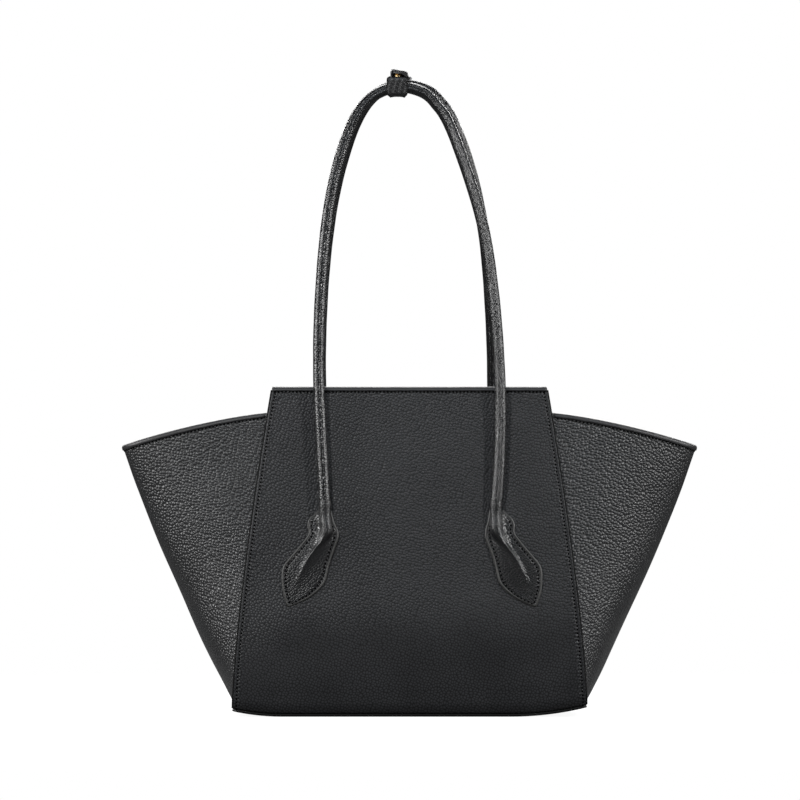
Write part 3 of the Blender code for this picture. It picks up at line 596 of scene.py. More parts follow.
@dataclass(frozen=True)
class BagForm:
    """The surfaces of the solid model, worked out on arrays."""

    base_length: float = 0.2995
    top_length: float = 0.2330
    height: float = 0.2790
    seam_curve: float = 1.4
    base_depth: float = 0.1500
    mouth_depth: float = 0.0760
    lean_start: float = 0.0250
    lean_curve: float = 1.3
    bulge: float = 0.0030
    curl_height: float = 0.0120
    curl_depth: float = 0.0050
    lining_start: float = 0.65
    corner_reach: Tuple[float, float] = (0.0420, 0.0640)
    corner_lift: Tuple[float, float] = (0.0046, 0.0078)
    wing_span: float = 0.4900
    wing_seam_height: float = 0.2575
    wing_tip_height: float = 0.2290
    wing_start: float = 0.0020
    wing_round: float = 0.2
    wing_top_curve: float = 1.3
    wing_flat: float = 0.40
    wing_puff: float = 0.12
    wing_nose: float = 0.60
    gap: float = 0.0003
    panel_thickness: float = 0.0018
    gusset_thickness: float = 0.0016
    facing_thickness: float = 0.0012
    lining_thickness: float = 0.0008
    base_thickness: float = 0.0018
    board_thickness: float = 0.0020
    band_rise: float = 0.00275
    seam_allowance: float = 0.0080
    facing_height: float = 0.0380
    base_edge_inset: float = 0.0036
    base_corner: float = 0.0060
    board_inset: float = 0.0085
    handle_spread: float = 0.1540
    handle_radius: float = 0.0048
    neck_height: float = 0.1780
    neck_clearance: float = 0.0008
    groove_depth: float = 0.0015
    groove_width: float = 0.0160
    groove_foot: float = 0.1500
    groove_fade: float = 0.0400

    @property
    def panel_top(self) -> float:
        """Return the height of a panel's leather edge."""
        return self.height - self.band_rise

    @property
    def panel_foot(self) -> float:
        """Return the height of a panel's lowest edge."""
        return self.base_thickness + self.gap

    @property
    def facing_foot(self) -> float:
        """Return the height of the facing's lower edge."""
        return self.panel_top - self.facing_height

    def half_width(self, height: Points) -> Points:
        """Return half the front panel's width at a height."""
        taper = (self.base_length - self.top_length) / 2
        return self.base_length / 2 - taper * clamp(height / self.height) ** self.seam_curve

    def half_depth(self, height: Points) -> Points:
        """Return half the bag's depth at a height."""
        lean = clamp((height - self.lean_start) / (self.height - self.lean_start))
        curl = clamp(1 - height / self.curl_height)
        lean_in = (self.base_depth - self.mouth_depth) / 2 * lean ** self.lean_curve
        return self.base_depth / 2 - lean_in - self.curl_depth * curl ** 2

    def lift(self, x: Points) -> Points:
        """Return how far the sewn corners draw the bottom edge up at x."""
        reach = np.where(x < 0, *self.corner_reach)
        past = np.abs(x) - self.base_length / 2 + reach
        return np.where(x < 0, *self.corner_lift) * clamp(past / reach) ** 2

    def panel(self, u: Points, height: Points) -> Points:
        """Return the front panel's outer surface.

        Args:
            u: places across, from -1 at the left seam to 1 at the right.
            height: their heights.

        Returns:
            The places.
        """
        u, height = np.broadcast_arrays(np.asarray(u, float), np.asarray(height, float))
        x = u * self.half_width(height)
        bulge = self.bulge * (1 - u * u) * np.sin(math.pi * clamp(height / self.panel_top))
        across = bell((np.abs(x) - self.handle_spread / 2) / self.groove_width)
        foot = clamp((height - self.groove_foot) / self.groove_fade)
        top = clamp((self.panel_top - height) / self.groove_fade)
        y = -(self.half_depth(height) + bulge - self.groove_depth * across * foot * top)
        return np.stack((x, y, height + self.lift(x) * (1 - height / self.height)), axis=-1)

    def normal(self, surface: Surface, u: Points, height: Points) -> Points:
        """Return a surface's outward directions.

        Args:
            surface: the surface.
            u: places across it.
            height: their heights.

        Returns:
            The directions, one to a row.
        """
        step = 1.0e-4
        rise = self.height * step
        along = surface(u + step, height) - surface(u - step, height)
        upward = surface(u, height + rise) - surface(u, height - rise)
        return unit(np.cross(along, upward))

    def inset(self, surface: Surface, depth: float) -> Surface:
        """Return the surface moved inward by a depth."""
        def moved(u: Points, height: Points) -> Points:
            """Return the moved places."""
            u, height = np.broadcast_arrays(np.asarray(u, float), np.asarray(height, float))
            return surface(u, height) - self.normal(surface, u, height) * depth
        return moved

    def wing_reach(self, height: Points) -> Points:
        """Return how far out the wing's fold lies at a height."""
        share = np.maximum(0.0, (height - self.wing_start) / (self.wing_tip_height - self.wing_start))
        flare = (self.wing_span - self.base_length) / 2
        bowed = (1 + self.wing_round) * share - self.wing_round * share * share
        return self.base_length / 2 + flare * bowed

    @staticmethod
    def bezier(points: Sequence[Points], t: Points) -> Points:
        """Return one coordinate of a cubic Bezier curve."""
        rest = 1 - t
        first, second, third, fourth = points
        return first * rest ** 3 + 3 * second * rest * rest * t + 3 * third * rest * t * t + fourth * t ** 3

    def gusset(self, s: Points, height: Points) -> Points:
        """Return the right gusset's outer surface.

        Args:
            s: places across, from -1 at the front seam to 1 at the back, and past both under the panels.
            height: their heights.

        Returns:
            The places.
        """
        s, height = np.broadcast_arrays(np.asarray(s, float), np.asarray(height, float))
        seam = self.inset(self.panel, self.panel_thickness + self.gap)
        spread = np.abs(s)
        under = seam(1 - np.maximum(spread - 1, 0.0) * self.seam_allowance / self.half_width(height), height)
        start = seam(np.ones_like(height), height)
        x, y, z = start[..., 0], start[..., 1], start[..., 2]
        out = np.maximum(0.0, self.wing_reach(height) - x)
        t = 1 - np.minimum(spread, 1.0)
        reach = self.bezier((x, x + self.wing_flat * out, x + out, x + out), t)
        depth = self.bezier((y, y * (1 - self.wing_puff), y * self.wing_nose, 0.0 * t), t)
        wall = np.stack((reach, depth, z), axis=-1)
        places = np.where((spread > 1)[..., None], under, wall)
        places[..., 1] = np.where(s > 0, -places[..., 1], places[..., 1])
        return places

    def wing_inside(self, s: Points, height: Points) -> Points:
        """Return the surface behind a gusset's leather, held clear of the seam allowances."""
        places = self.inset(self.gusset, self.gusset_thickness + self.gap)(s, height)
        depth = self.panel_thickness + self.gusset_thickness + 2 * self.gap
        limit = -self.inset(self.panel, depth)(np.ones_like(np.asarray(height, float)), height)[..., 1]
        places[..., 1] = np.clip(places[..., 1], -limit, limit)
        return places

    def gusset_top(self, s: Points) -> Points:
        """Return the height of the gusset's leather edge, which falls to the wing's tip."""
        zero = np.zeros_like(s)
        share = self.bezier((zero, zero + self.wing_flat, zero + 1, zero + 1), 1 - np.minimum(1.0, np.abs(s)))
        fall = self.wing_seam_height - self.wing_tip_height
        return self.wing_seam_height - self.band_rise - fall * share ** self.wing_top_curve

    def lining(self, w: Points, height: Points) -> Points:
        """Return the panel's surface, narrowed to clear the gussets' seam allowances."""
        return self.panel(w * (1 - (self.seam_allowance + self.gap) / self.half_width(height)), height)

    def neck_depth(self) -> float:
        """Return how far in front of the bag's middle plane a handle's neck lies."""
        share = self.handle_spread / 2 / self.half_width(self.neck_height)
        return float(-self.panel(share, self.neck_height)[..., 1]) + self.handle_radius + self.neck_clearance

    def wall_frame(self, x_reach: float, height: float, depth: float) -> Matrix:
        """Return the place of a flat fitting on the back wall's inner face.

        Args:
            x_reach: how far the fitting reaches along the bag from its middle.
            height: the fitting's height.
            depth: how deep behind the panel's outer face the fitting lies.

        Returns:
            A frame with X along the bag, Y up the wall and Z into the bag.
        """
        surface = self.inset(self.panel, depth)
        across = np.linspace(0.0, x_reach, 31) / self.half_width(height)
        u = across[int(np.argmax(surface(across, np.full(31, height))[:, 1]))]
        low, high = (surface(u, height + shift) for shift in (-self.curl_height, self.curl_height))
        up = Vector((0.0, -(high[1] - low[1]), high[2] - low[2])).normalized()
        inward = Vector((1.0, 0.0, 0.0)).cross(up)
        place = surface(u, height)
        frame = Matrix(((1.0, 0.0, 0.0, 0.0), (0.0, up[1], inward[1], -place[1]),
                        (0.0, up[2], inward[2], place[2]), (0.0, 0.0, 0.0, 1.0)))
        return frame


@dataclass(frozen=True)
class Swell:
    """Soft hills and hollows that leather takes on, the same at every run."""

    seed: int
    height: float
    longest: float = 0.16
    shortest: float = 0.06
    waves: int = 7

    def at(self, across: Points, along: Points) -> Points:
        """Return the height of the hills.

        Args:
            across: places across the leather, in metres.
            along: places along it.

        Returns:
            The height at each.
        """
        chance = np.random.default_rng(self.seed)
        total = np.zeros_like(across, dtype=float)
        for _ in range(self.waves):
            length = chance.uniform(self.shortest, self.longest)
            heading = chance.uniform(0.0, math.pi)
            phase = chance.uniform(0.0, 2 * math.pi)
            run = across * math.cos(heading) + along * math.sin(heading)
            total = total + np.sin(2 * math.pi * run / length + phase) * length / self.longest
        return self.height * total / math.sqrt(self.waves)


# The seed of each wall's swells
SEEDS = {Side.FRONT: 4, Side.BACK: 11, Wing.RIGHT: 31, Wing.LEFT: 23}


# Making meshes


class Workshop:
    """Makes meshes with Blender's operators and hands them over as pieces."""

    @staticmethod
    def to_object(name: str, mesh: bmesh.types.BMesh, smooth: bool = True) -> bpy.types.Object:
        """Turn a bmesh into an object in the scene.

        Args:
            name: the object's name.
            mesh: the bmesh, which is freed.
            smooth: whether its faces are shaded smooth.

        Returns:
            The object.
        """
        data = bpy.data.meshes.new(name)
        mesh.to_mesh(data)
        mesh.free()
        if smooth:
            data.shade_smooth()
        item = bpy.data.objects.new(name, data)
        bpy.context.scene.collection.objects.link(item)
        return item

    @staticmethod
    def grid(name: str, place: Surface, columns: int, rows: int, closed: bool = False,
             flip: bool = False, caps: bool = False, seam: Optional[Surface] = None) -> bpy.types.Object:
        """Lay a grid over a surface, with a UV map in metres.

        Args:
            name: the object's name.
            place: the surface, from two shares between nought and one.
            columns: how many faces the grid has across.
            rows: how many faces it has along.
            closed: whether edges that meet are joined.
            flip: whether its faces are turned round.
            caps: whether open ends are closed.
            seam: the distance from the nearest seam and the number of stitches along it, at those shares.

        Returns:
            The object.
        """
        mesh = bmesh.new()
        layer = mesh.loops.layers.uv.new("UVMap")
        second = mesh.loops.layers.uv.new("Seam") if seam else None
        bmesh.ops.create_grid(mesh, x_segments=columns, y_segments=rows, size=0.5)
        mesh.verts.index_update()
        flat = np.array([vertex.co[:2] for vertex in mesh.verts]) + 0.5
        column = np.rint(flat[:, 0] * columns).astype(int)
        row = np.rint(flat[:, 1] * rows).astype(int)
        points = place(column / columns, row / rows)
        table = np.zeros((rows + 1, columns + 1, 3))
        table[row, column] = points
        across = np.zeros((rows + 1, columns + 1))
        across[:, 1:] = np.cumsum(np.linalg.norm(np.diff(table, axis=1), axis=2), axis=1)
        across -= across[:, [columns // 2]]
        along = np.zeros((rows + 1, columns + 1))
        along[1:] = np.cumsum(np.linalg.norm(np.diff(table, axis=0), axis=2), axis=0)
        chart = np.stack((across[row, column], along[row, column]), axis=-1)
        beside = seam(column / columns, row / rows) if seam else None
        for face in mesh.faces:
            for loop in face.loops:
                loop[layer].uv = chart[loop.vert.index]
                if seam:
                    loop[second].uv = beside[loop.vert.index]
        for vertex, point in zip(mesh.verts, points):
            vertex.co = point
        if closed:
            bmesh.ops.remove_doubles(mesh, verts=mesh.verts, dist=1e-6)
        if caps:
            bmesh.ops.holes_fill(mesh, edges=[edge for edge in mesh.edges if edge.is_boundary], sides=0)
        if flip:
            bmesh.ops.reverse_faces(mesh, faces=mesh.faces)
        return Workshop.to_object(name, mesh)

    @staticmethod
    def frames(path: Points, facing: Sequence[float]) -> Tuple[Points, Points]:
        """Return two directions across a path at each place.

        Args:
            path: the places along it.
            facing: where the first direction points, as nearly as the path lets it.

        Returns:
            The first directions and the second ones.
        """
        tangents = unit(np.gradient(path, axis=0))
        first = np.zeros_like(path)
        current = np.asarray(facing, float)
        for index, tangent in enumerate(tangents):
            current = current - tangent * float(current @ tangent)
            current = current / np.linalg.norm(current)
            first[index] = current
        return first, np.cross(tangents, first)

    @staticmethod
    def tube(name: str, path: Points, radius: Union[float, Points], sides: int,
             facing: Sequence[float] = (0.0, -1.0, 0.0),
             section: Optional[Callable[[Points], Points]] = None) -> bpy.types.Object:
        """Lay a tube along a path.

        Args:
            name: the object's name.
            path: the places along its middle, one to a row.
            radius: its radius, or one for each place.
            sides: how many faces it has round.
            facing: where its first side points.
            section: how much larger it is at each angle from that side, as a length.

        Returns:
            The object, closed at both ends.
        """
        first, second = Workshop.frames(path, facing)
        radii = np.broadcast_to(np.asarray(radius, float), (len(path),))

        def place(around: Points, along: Points) -> Points:
            """Return the places on the tube."""
            index = np.rint(along * (len(path) - 1)).astype(int)
            angle = 2 * math.pi * np.where(around > 1 - 0.5 / sides, 0.0, around)
            size = radii[index] + (section(angle) if section else 0.0)
            side = first[index] * np.cos(angle)[:, None] + second[index] * np.sin(angle)[:, None]
            return path[index] + side * size[:, None]

        return Workshop.grid(name, place, sides, len(path) - 1, closed=True, caps=True)

    @staticmethod
    def lathe(name: str, profile: Pairs, place: Matrix, steps: int = 48) -> bpy.types.Object:
        """Turn a profile about its own Z axis.

        Args:
            name: the object's name.
            profile: its radius and height pairs.
            place: where the piece goes.
            steps: how many faces it has round.

        Returns:
            The object.
        """
        mesh = bmesh.new()
        spots = [mesh.verts.new((radius, 0.0, height)) for radius, height in profile]
        edges = [mesh.edges.new(pair) for pair in zip(spots, spots[1:])]
        bmesh.ops.spin(mesh, geom=spots + edges, cent=(0.0, 0.0, 0.0), axis=(0.0, 0.0, 1.0),
                       dvec=(0.0, 0.0, 0.0), angle=2 * math.pi, steps=steps, use_merge=True)
        bmesh.ops.remove_doubles(mesh, verts=mesh.verts, dist=1e-6)
        return Workshop.placed(name, mesh, place, 35.0)

    @staticmethod
    def placed(name: str, mesh: bmesh.types.BMesh, place: Matrix, sharp: float) -> bpy.types.Object:
        """Put a closed mesh in its place, with its faces turned outward.

        Args:
            name: the object's name.
            mesh: the bmesh, which is freed.
            place: where it goes.
            sharp: the angle in degrees above which an edge stays sharp.

        Returns:
            The object.
        """
        bmesh.ops.recalc_face_normals(mesh, faces=mesh.faces)
        bmesh.ops.transform(mesh, matrix=place, verts=mesh.verts)
        item = Workshop.to_object(name, mesh)
        item.data.set_sharp_from_angle(angle=math.radians(sharp))
        return item

    @staticmethod
    def slab(name: str, outline: Pairs, thickness: float, place: Matrix, hole: Optional[Pairs] = None,
             soften: float = 0.0) -> bpy.types.Object:
        """Make a flat piece from its outline, standing on its own XY plane, with soft edges.

        Args:
            name: the object's name.
            outline: the outline's corners in order.
            thickness: the piece's thickness along its own +Z.
            place: where the piece goes.
            hole: an outline with as many corners that is cut out.
            soften: how far its edges are rounded.

        Returns:
            The object.
        """
        mesh = bmesh.new()
        rims = []
        for corners in (outline, hole) if hole else (outline,):
            spots = [mesh.verts.new((x, y, 0.0)) for x, y in corners]
            rims.append([mesh.edges.new(pair) for pair in zip(spots, spots[1:] + spots[:1])])
        if hole:
            bmesh.ops.bridge_loops(mesh, edges=rims[0] + rims[1])
        else:
            bmesh.ops.holes_fill(mesh, edges=rims[0], sides=0)
        made = bmesh.ops.extrude_face_region(mesh, geom=mesh.faces[:])
        lifted = [item for item in made["geom"] if isinstance(item, bmesh.types.BMVert)]
        bmesh.ops.translate(mesh, vec=(0.0, 0.0, thickness), verts=lifted)
        bmesh.ops.recalc_face_normals(mesh, faces=mesh.faces)
        if soften:
            sharp = [edge for edge in mesh.edges if edge.calc_face_angle(0.0) > math.radians(50)]
            bmesh.ops.bevel(mesh, geom=sharp, offset=soften, affect="EDGES", segments=3, profile=0.5,
                            material=-1, clamp_overlap=True)
        return Workshop.placed(name, mesh, place, 50.0)

    @staticmethod
    def thicken(item: bpy.types.Object, thickness: float, settle: bool = False) -> bpy.types.Object:
        """Give a sheet its thickness, inward from its outer face.

        Args:
            item: the sheet.
            thickness: its thickness.
            settle: whether the thickness is baked into its mesh.

        Returns:
            The sheet.
        """
        shell = item.modifiers.new("thickness", "SOLIDIFY")
        shell.thickness = thickness
        shell.offset = -1.0
        if settle:
            graph = bpy.context.evaluated_depsgraph_get()
            data = bpy.data.meshes.new_from_object(item.evaluated_get(graph), depsgraph=graph)
            item.modifiers.clear()
            item.data = data
        return item

    @staticmethod
    def sheet(name: str, place: Surface, faces: Tuple[int, int], thickness: float, finish: Finish,
              slot: str, solid: str, seam: Optional[Surface] = None) -> bpy.types.Object:
        """Lay one of the bag's own sheets over a surface.

        Args:
            name: the object's name.
            place: the sheet's outer face, from two shares between nought and one.
            faces: how many faces it has across and along.
            thickness: its thickness.
            finish: what it wears.
            slot: the record's slot that its finish belongs to.
            solid: the solid that it replaces.
            seam: as for a grid.

        Returns:
            The sheet.
        """
        item = Workshop.thicken(Workshop.grid(name, place, *faces, seam=seam), thickness)
        return Workshop.dress(item, finish, "bag", slot, (solid,))

    @staticmethod
    def dress(item: bpy.types.Object, finish: Finish, body: str, slot: str,
              stands_for: Sequence[str] = ()) -> bpy.types.Object:
        """Give a piece its finish and its body, and hide the solids that it stands for.

        Args:
            item: the piece.
            finish: what it wears.
            body: the body that it rides on.
            slot: the record's slot that its finish belongs to; not used.
            stands_for: the solids that it replaces.

        Returns:
            The piece.
        """
        item.data.materials.clear()
        item.data.materials.append(finish.material())
        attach(item, body)
        if stands_for:
            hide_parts(*stands_for)
        LOG.info("%s: %d faces, %s on %s", item.name, len(item.data.polygons), finish.name, body)
        return item


@dataclass(frozen=True)
class Seam:
    """A row of stitches: a matt black spot, the painted shade of a needle hole, at each end of a short
    thread.
    """

    name: str
    pitch: float = 0.0032
    hole: float = 0.00100
    thread: float = 0.00026

    def sew(self, rows: Sequence[Tuple[Points, Points]], body: str, slot: str) -> None:
        """Sew along rows of places.

        Args:
            rows: for each row, the places along it and the outward direction at each.
            body: the body that the stitches ride on.
            slot: the record's slot that they belong to.
        """
        holes, threads = [], []
        for path, outward in rows:
            both = evenly(np.hstack((path, outward)), self.pitch)
            spots, normals = both[:, :3], unit(both[:, 3:])
            for index, (spot, normal) in enumerate(zip(spots, normals)):
                ahead = spots[min(index + 1, len(spots) - 1)] - spots[max(index - 1, 0)]
                # Each needle hole is a small flat black bead on the leather: painted shade in place of a real
                # hole.
                sizes = (self.hole, self.hole * 0.85, self.hole * 0.5)
                holes.append(self.frame(spot, ahead, normal, sizes))
            for start, end, normal in zip(spots, spots[1:], normals):
                middle = (start + end) / 2 + normal * self.thread * 0.25
                sizes = (self.pitch * 0.40, self.thread, self.thread)
                threads.append(self.frame(middle, end - start, normal, sizes))
        for kind, frames, finish in (("holes", holes, NEEDLE_HOLE_SHADE), ("threads", threads, THREAD)):
            item = Workshop.to_object(f"{self.name}_{kind}", self.beads(frames))
            Workshop.dress(item, finish, body, slot)

    @staticmethod
    def frame(spot: Points, ahead: Points, normal: Points, sizes: Tuple[float, float, float]) -> Matrix:
        """Return a bead's place: its middle, and its half sizes ahead, across and outward."""
        forward = Vector(ahead).normalized()
        outward = (Vector(normal) - forward * Vector(normal).dot(forward)).normalized()
        turn = Matrix((forward, outward.cross(forward), outward)).transposed().to_4x4()
        return Matrix.Translation(spot) @ turn @ Matrix.Diagonal((*sizes, 1.0))

    @staticmethod
    def beads(frames: Sequence[Matrix], batch: int = 24) -> bmesh.types.BMesh:
        """Make a small round bead in each frame, a few at a time to stay quick.

        Args:
            frames: the beads' places.
            batch: how many are made at a time.

        Returns:
            One bmesh with all of them.
        """
        whole = bmesh.new()
        few = bpy.data.meshes.new("few_beads")
        for start in range(0, len(frames), batch):
            part = bmesh.new()
            for frame in frames[start:start + batch]:
                bmesh.ops.create_uvsphere(part, u_segments=6, v_segments=4, radius=1.0, matrix=frame)
            part.to_mesh(few)
            part.free()
            whole.from_mesh(few)
        bpy.data.meshes.remove(few)
        return whole


# The body


@dataclass(frozen=True)
class Face:
    """One big panel with its top band, facing, lining, stitches and the painted shadow lines at its side
    edges.
    """

    form: BagForm
    side: Side
    leather: float = 0.0012
    swell: float = 0.00042
    belly: float = 0.0022
    stitch: float = 0.0031
    channel_inset: float = 0.0030
    channel_depth: float = 0.00022
    channel_width: float = 0.0009
    roll: float = 0.0004
    roll_width: float = 0.0017
    band_foot: float = 0.0010
    band_thickness: float = 0.0009
    shadow_line_radius: float = 0.00060
    crowding: float = 0.3
    fades: Tuple[float, float, float] = (0.035, 0.030, 0.12)
    belly_height: float = 0.078
    belly_width: float = 0.034
    sewn_foot: float = 0.0005
    sewn_reach: float = 0.975
    seam_drop: float = 0.0007
    shadow_line_sink: float = 0.35

    def soft(self, u: Points, height: Points) -> Points:
        """Return the panel's surface with the small hollows that wear and sewing give it.

        Args:
            u: places across, from -1 to 1.
            height: their heights.

        Returns:
            The places, as on the front.
        """
        form = self.form
        places = form.panel(u, height)
        x, within = u * form.half_width(height), 1 - np.abs(u)
        top, foot, side = self.fades
        fade = clamp((form.panel_top - height) / top) * clamp(height / foot) * clamp(within / side)
        swell = Swell(SEEDS[self.side], self.swell).at(x, height) * ease(fade)
        edge = within * form.half_width(height)
        channel = bell((edge - self.channel_inset) / self.channel_width)
        rolled = clamp(1 - edge / self.roll_width) ** 2
        belly = self.belly * bell((height - self.belly_height) / self.belly_width) * ease(within / 0.30)
        places[..., 1] -= swell + belly - self.channel_depth * channel - self.roll * rolled
        return places

    def across(self, a: Points) -> Points:
        """Return places across for shares of the grid, closer together at the seams."""
        t = 2 * a - 1
        return (1 + self.crowding) * t - self.crowding * t ** 3

    def build(self) -> None:
        """Build the panel and all that is sewn to it."""
        form, side, name = self.form, self.side, self.side.value
        foot, top = form.panel_foot, form.panel_top
        heights = np.linspace(foot + self.sewn_foot, top, 120)
        passed = runs(self.soft(1 - self.channel_inset / form.half_width(heights), heights))
        pitch = passed[-1] / round(passed[-1] / self.stitch)

        def shell(a: Points, b: Points) -> Points:
            """Return the panel's places."""
            return side.put(self.soft(self.across(a), foot + (top - foot) * b))

        def beside(a: Points, b: Points) -> Points:
            """Return how far in from the side seam a place is, and how many stitches up."""
            height = foot + (top - foot) * b
            inward = (1 - np.abs(self.across(a))) * form.half_width(height)
            return np.stack((inward, np.interp(height, heights, passed) / pitch + 0.5), axis=-1)

        Workshop.sheet(f"{name}_panel_leather", shell, (176, 150), self.leather, PANEL_LEATHER, "leather",
                       f"{name}_panel", beside)
        self.edge(heights)
        stack = form.panel_thickness + form.gap + form.facing_thickness
        band = BandStrip(form, side, self.band_foot, self.band_thickness, stack)
        band.lay(f"{name}_top_band", f"{name}_top_binding", form.panel, lambda u: np.full_like(u, top),
                 1.0, 100)
        under = form.inset(form.lining, form.panel_thickness + form.gap)
        layers = (("facing", form.facing_foot, top, form.facing_thickness, BACK_LEATHER, "leather"),
                  ("lining", foot + form.lining_start * form.curl_height, form.facing_foot - form.gap,
                   form.lining_thickness, LINING, "lining"))
        for kind, low, high, thickness, finish, slot in layers:
            def layer(a: Points, b: Points, low: float = low, high: float = high) -> Points:
                """Return the layer's places."""
                return side.put(under(2 * a - 1, low + (high - low) * b))
            Workshop.sheet(f"{name}_{kind}_layer", layer, (110, 60), thickness, finish, slot,
                           f"{name}_{kind}")

    def edge(self, heights: Points) -> None:
        """Build a near-black tube along each side edge, a painted shadow line where the panel meets the wing,
        and sew the panel down beside its edges and below its top band.
        """
        form, side, name = self.form, self.side, self.side.value
        rows = []
        for hand, label in ((-1.0, "left"), (1.0, "right")):
            # A near-black tube just outside each side edge paints the shadow in the gap where the panel's
            # edge meets the wing.
            cut = form.inset(form.panel, form.panel_thickness * self.shadow_line_sink)
            path = cut(np.full_like(heights, hand), heights)
            path[:, 0] += hand * self.shadow_line_radius * 0.6
            edge = Workshop.tube(f"{name}_panel_edge_{label}", side.put(path), self.shadow_line_radius, 10)
            Workshop.dress(edge, BLACK_EDGE_AND_SHADOW_LINE, "bag", "leather")
            rows.append((self.soft, hand * (1 - self.channel_inset / form.half_width(heights)), heights))
        u = np.linspace(-self.sewn_reach, self.sewn_reach, 80)
        rows.append((form.panel, u, np.full_like(u, form.panel_top - self.band_foot - self.seam_drop)))
        Seam(f"{name}_panel_stitches", pitch=self.stitch).sew(
            [(side.put(surface(u, height)), side.put(form.normal(form.panel, u, height)))
             for surface, u, height in rows], "bag", "leather")


@dataclass(frozen=True)
class BandStrip:
    """The folded strip over a top edge."""

    form: BagForm
    stand: Stand
    foot: float
    thickness: float
    stack: float
    arc_steps: int = 8
    turn_in: float = 0.0004
    lip: float = 0.00005
    wobble: Tuple[float, float] = (0.00012, 0.00008)

    def section(self) -> Points:
        """Return the strip's outer face as depth and rise pairs, from the outside over to the inside."""
        reach, middle = self.form.gap + self.thickness, self.stack / 2
        foot = ((-self.lip, -self.foot), (-reach * 0.75, -self.foot + self.turn_in / 4),
                (-reach, -self.foot + self.turn_in))
        angles = [math.pi * (1 - index / self.arc_steps) for index in range(self.arc_steps + 1)]
        arc = [(middle + (middle + reach) * math.cos(angle), (middle + reach) * math.sin(angle))
               for angle in angles]
        return np.array((*foot, *arc, *((self.stack - depth, rise) for depth, rise in reversed(foot))))

    def lay(self, name: str, solid: str, surface: Surface, top: Callable[[Points], Points], reach: float,
            columns: int) -> None:
        """Lay the strip along an edge.

        Args:
            name: the object's name.
            solid: the solid that it replaces.
            surface: the surface whose edge it wraps.
            top: the height of that edge at each place across.
            reach: how far across it runs, from minus this share to this share.
            columns: how many faces it has along the edge.
        """
        pairs = self.section()

        def place(a: Points, b: Points) -> Points:
            """Return the strip's places."""
            u = (2 * a - 1) * reach
            depth, rise = pairs[np.rint(b * (len(pairs) - 1)).astype(int)].T
            wobble = self.wobble[0] * np.sin(u * 61.0) + self.wobble[1] * np.sin(u * 143.0 + 1.0)
            level = top(u) + rise + np.where(rise < 0, wobble, 0.0)
            return self.stand.put(surface(u, level) - self.form.normal(surface, u, level) * depth[:, None])

        Workshop.sheet(name, place, (columns, len(pairs) - 1), self.thickness * 0.9, BAND_LEATHER, "leather",
                       solid)


@dataclass(frozen=True)
class WingSide:
    """One wing: its leather, top band, facing, lining and stitches."""

    form: BagForm
    wing: Wing
    leather: float = 0.0010
    fold: float = 0.0008
    band_foot: float = 0.0016
    band_thickness: float = 0.0009
    fade_height: float = 0.040
    layer_gap: float = 0.0012
    fold_lengths: Tuple[float, float] = (0.14, 0.07)
    half_girth: float = 0.13
    tuck: float = 1.5
    sewn_reach: float = 0.97
    band_reach: float = 0.985
    seam_drop: float = 0.0006

    def soft(self, s: Points, height: Points) -> Points:
        """Return the gusset's surface with its soft folds.

        Args:
            s: places across, as for the gusset.
            height: their heights.

        Returns:
            The places, as on the right.
        """
        form = self.form
        low, high = clamp(height / self.fade_height), clamp((form.gusset_top(s) - height) / self.fade_height)
        fade = clamp((1 - np.abs(s)) / 0.25) * high * low
        swell = Swell(SEEDS[self.wing], self.fold, *self.fold_lengths)
        hills = swell.at(s * self.half_girth, height) * ease(fade)
        return form.gusset(s, height) + form.normal(form.gusset, s, height) * hills[..., None]

    def build(self) -> None:
        """Build the wing and all that is sewn to it."""
        form, wing, name = self.form, self.wing, self.wing.value
        foot = form.panel_foot

        def shell(a: Points, b: Points) -> Points:
            """Return the gusset's places, a little way under the panels at both seams."""
            s = (2 * a - 1) * self.tuck
            return wing.put(self.soft(s, foot + (form.gusset_top(s) - foot) * b))

        Workshop.sheet(f"{name}_gusset_leather", shell, (180, 130), self.leather, BODY_LEATHER, "leather",
                       f"{name}_gusset")
        stack = form.gusset_thickness + form.gap + form.facing_thickness
        band = BandStrip(form, wing, self.band_foot, self.band_thickness, stack)
        band.lay(f"{name}_wing_band", f"{name}_gusset_binding", form.gusset, form.gusset_top, self.band_reach,
                 140)
        s = np.linspace(-self.sewn_reach, self.sewn_reach, 200)
        level = form.gusset_top(s) - self.band_foot - self.seam_drop
        row = (wing.put(form.gusset(s, level)), wing.put(form.normal(form.gusset, s, level)))
        Seam(f"{name}_wing_stitches").sew([row], "bag", "leather")
        rise = form.gusset_top(np.array(1.0)) - foot
        facing = 1 - form.facing_height / rise
        layers = (("facing", facing, 1.0, form.facing_thickness, BACK_LEATHER, "leather"),
                  ("lining", form.lining_start * form.curl_height / rise, facing - self.layer_gap,
                   form.lining_thickness, LINING, "lining"))
        for kind, low, high, thickness, finish, slot in layers:
            def layer(a: Points, b: Points, low: float = low, high: float = high) -> Points:
                """Return the layer's places."""
                s = 2 * a - 1
                share = low + (high - low) * b
                return wing.put(form.wing_inside(s, foot + (form.gusset_top(s) - foot) * share))
            Workshop.sheet(f"{name}_wing_{kind}_layer", layer, (120, 60), thickness, finish, slot,
                           f"{name}_wing_{kind}")


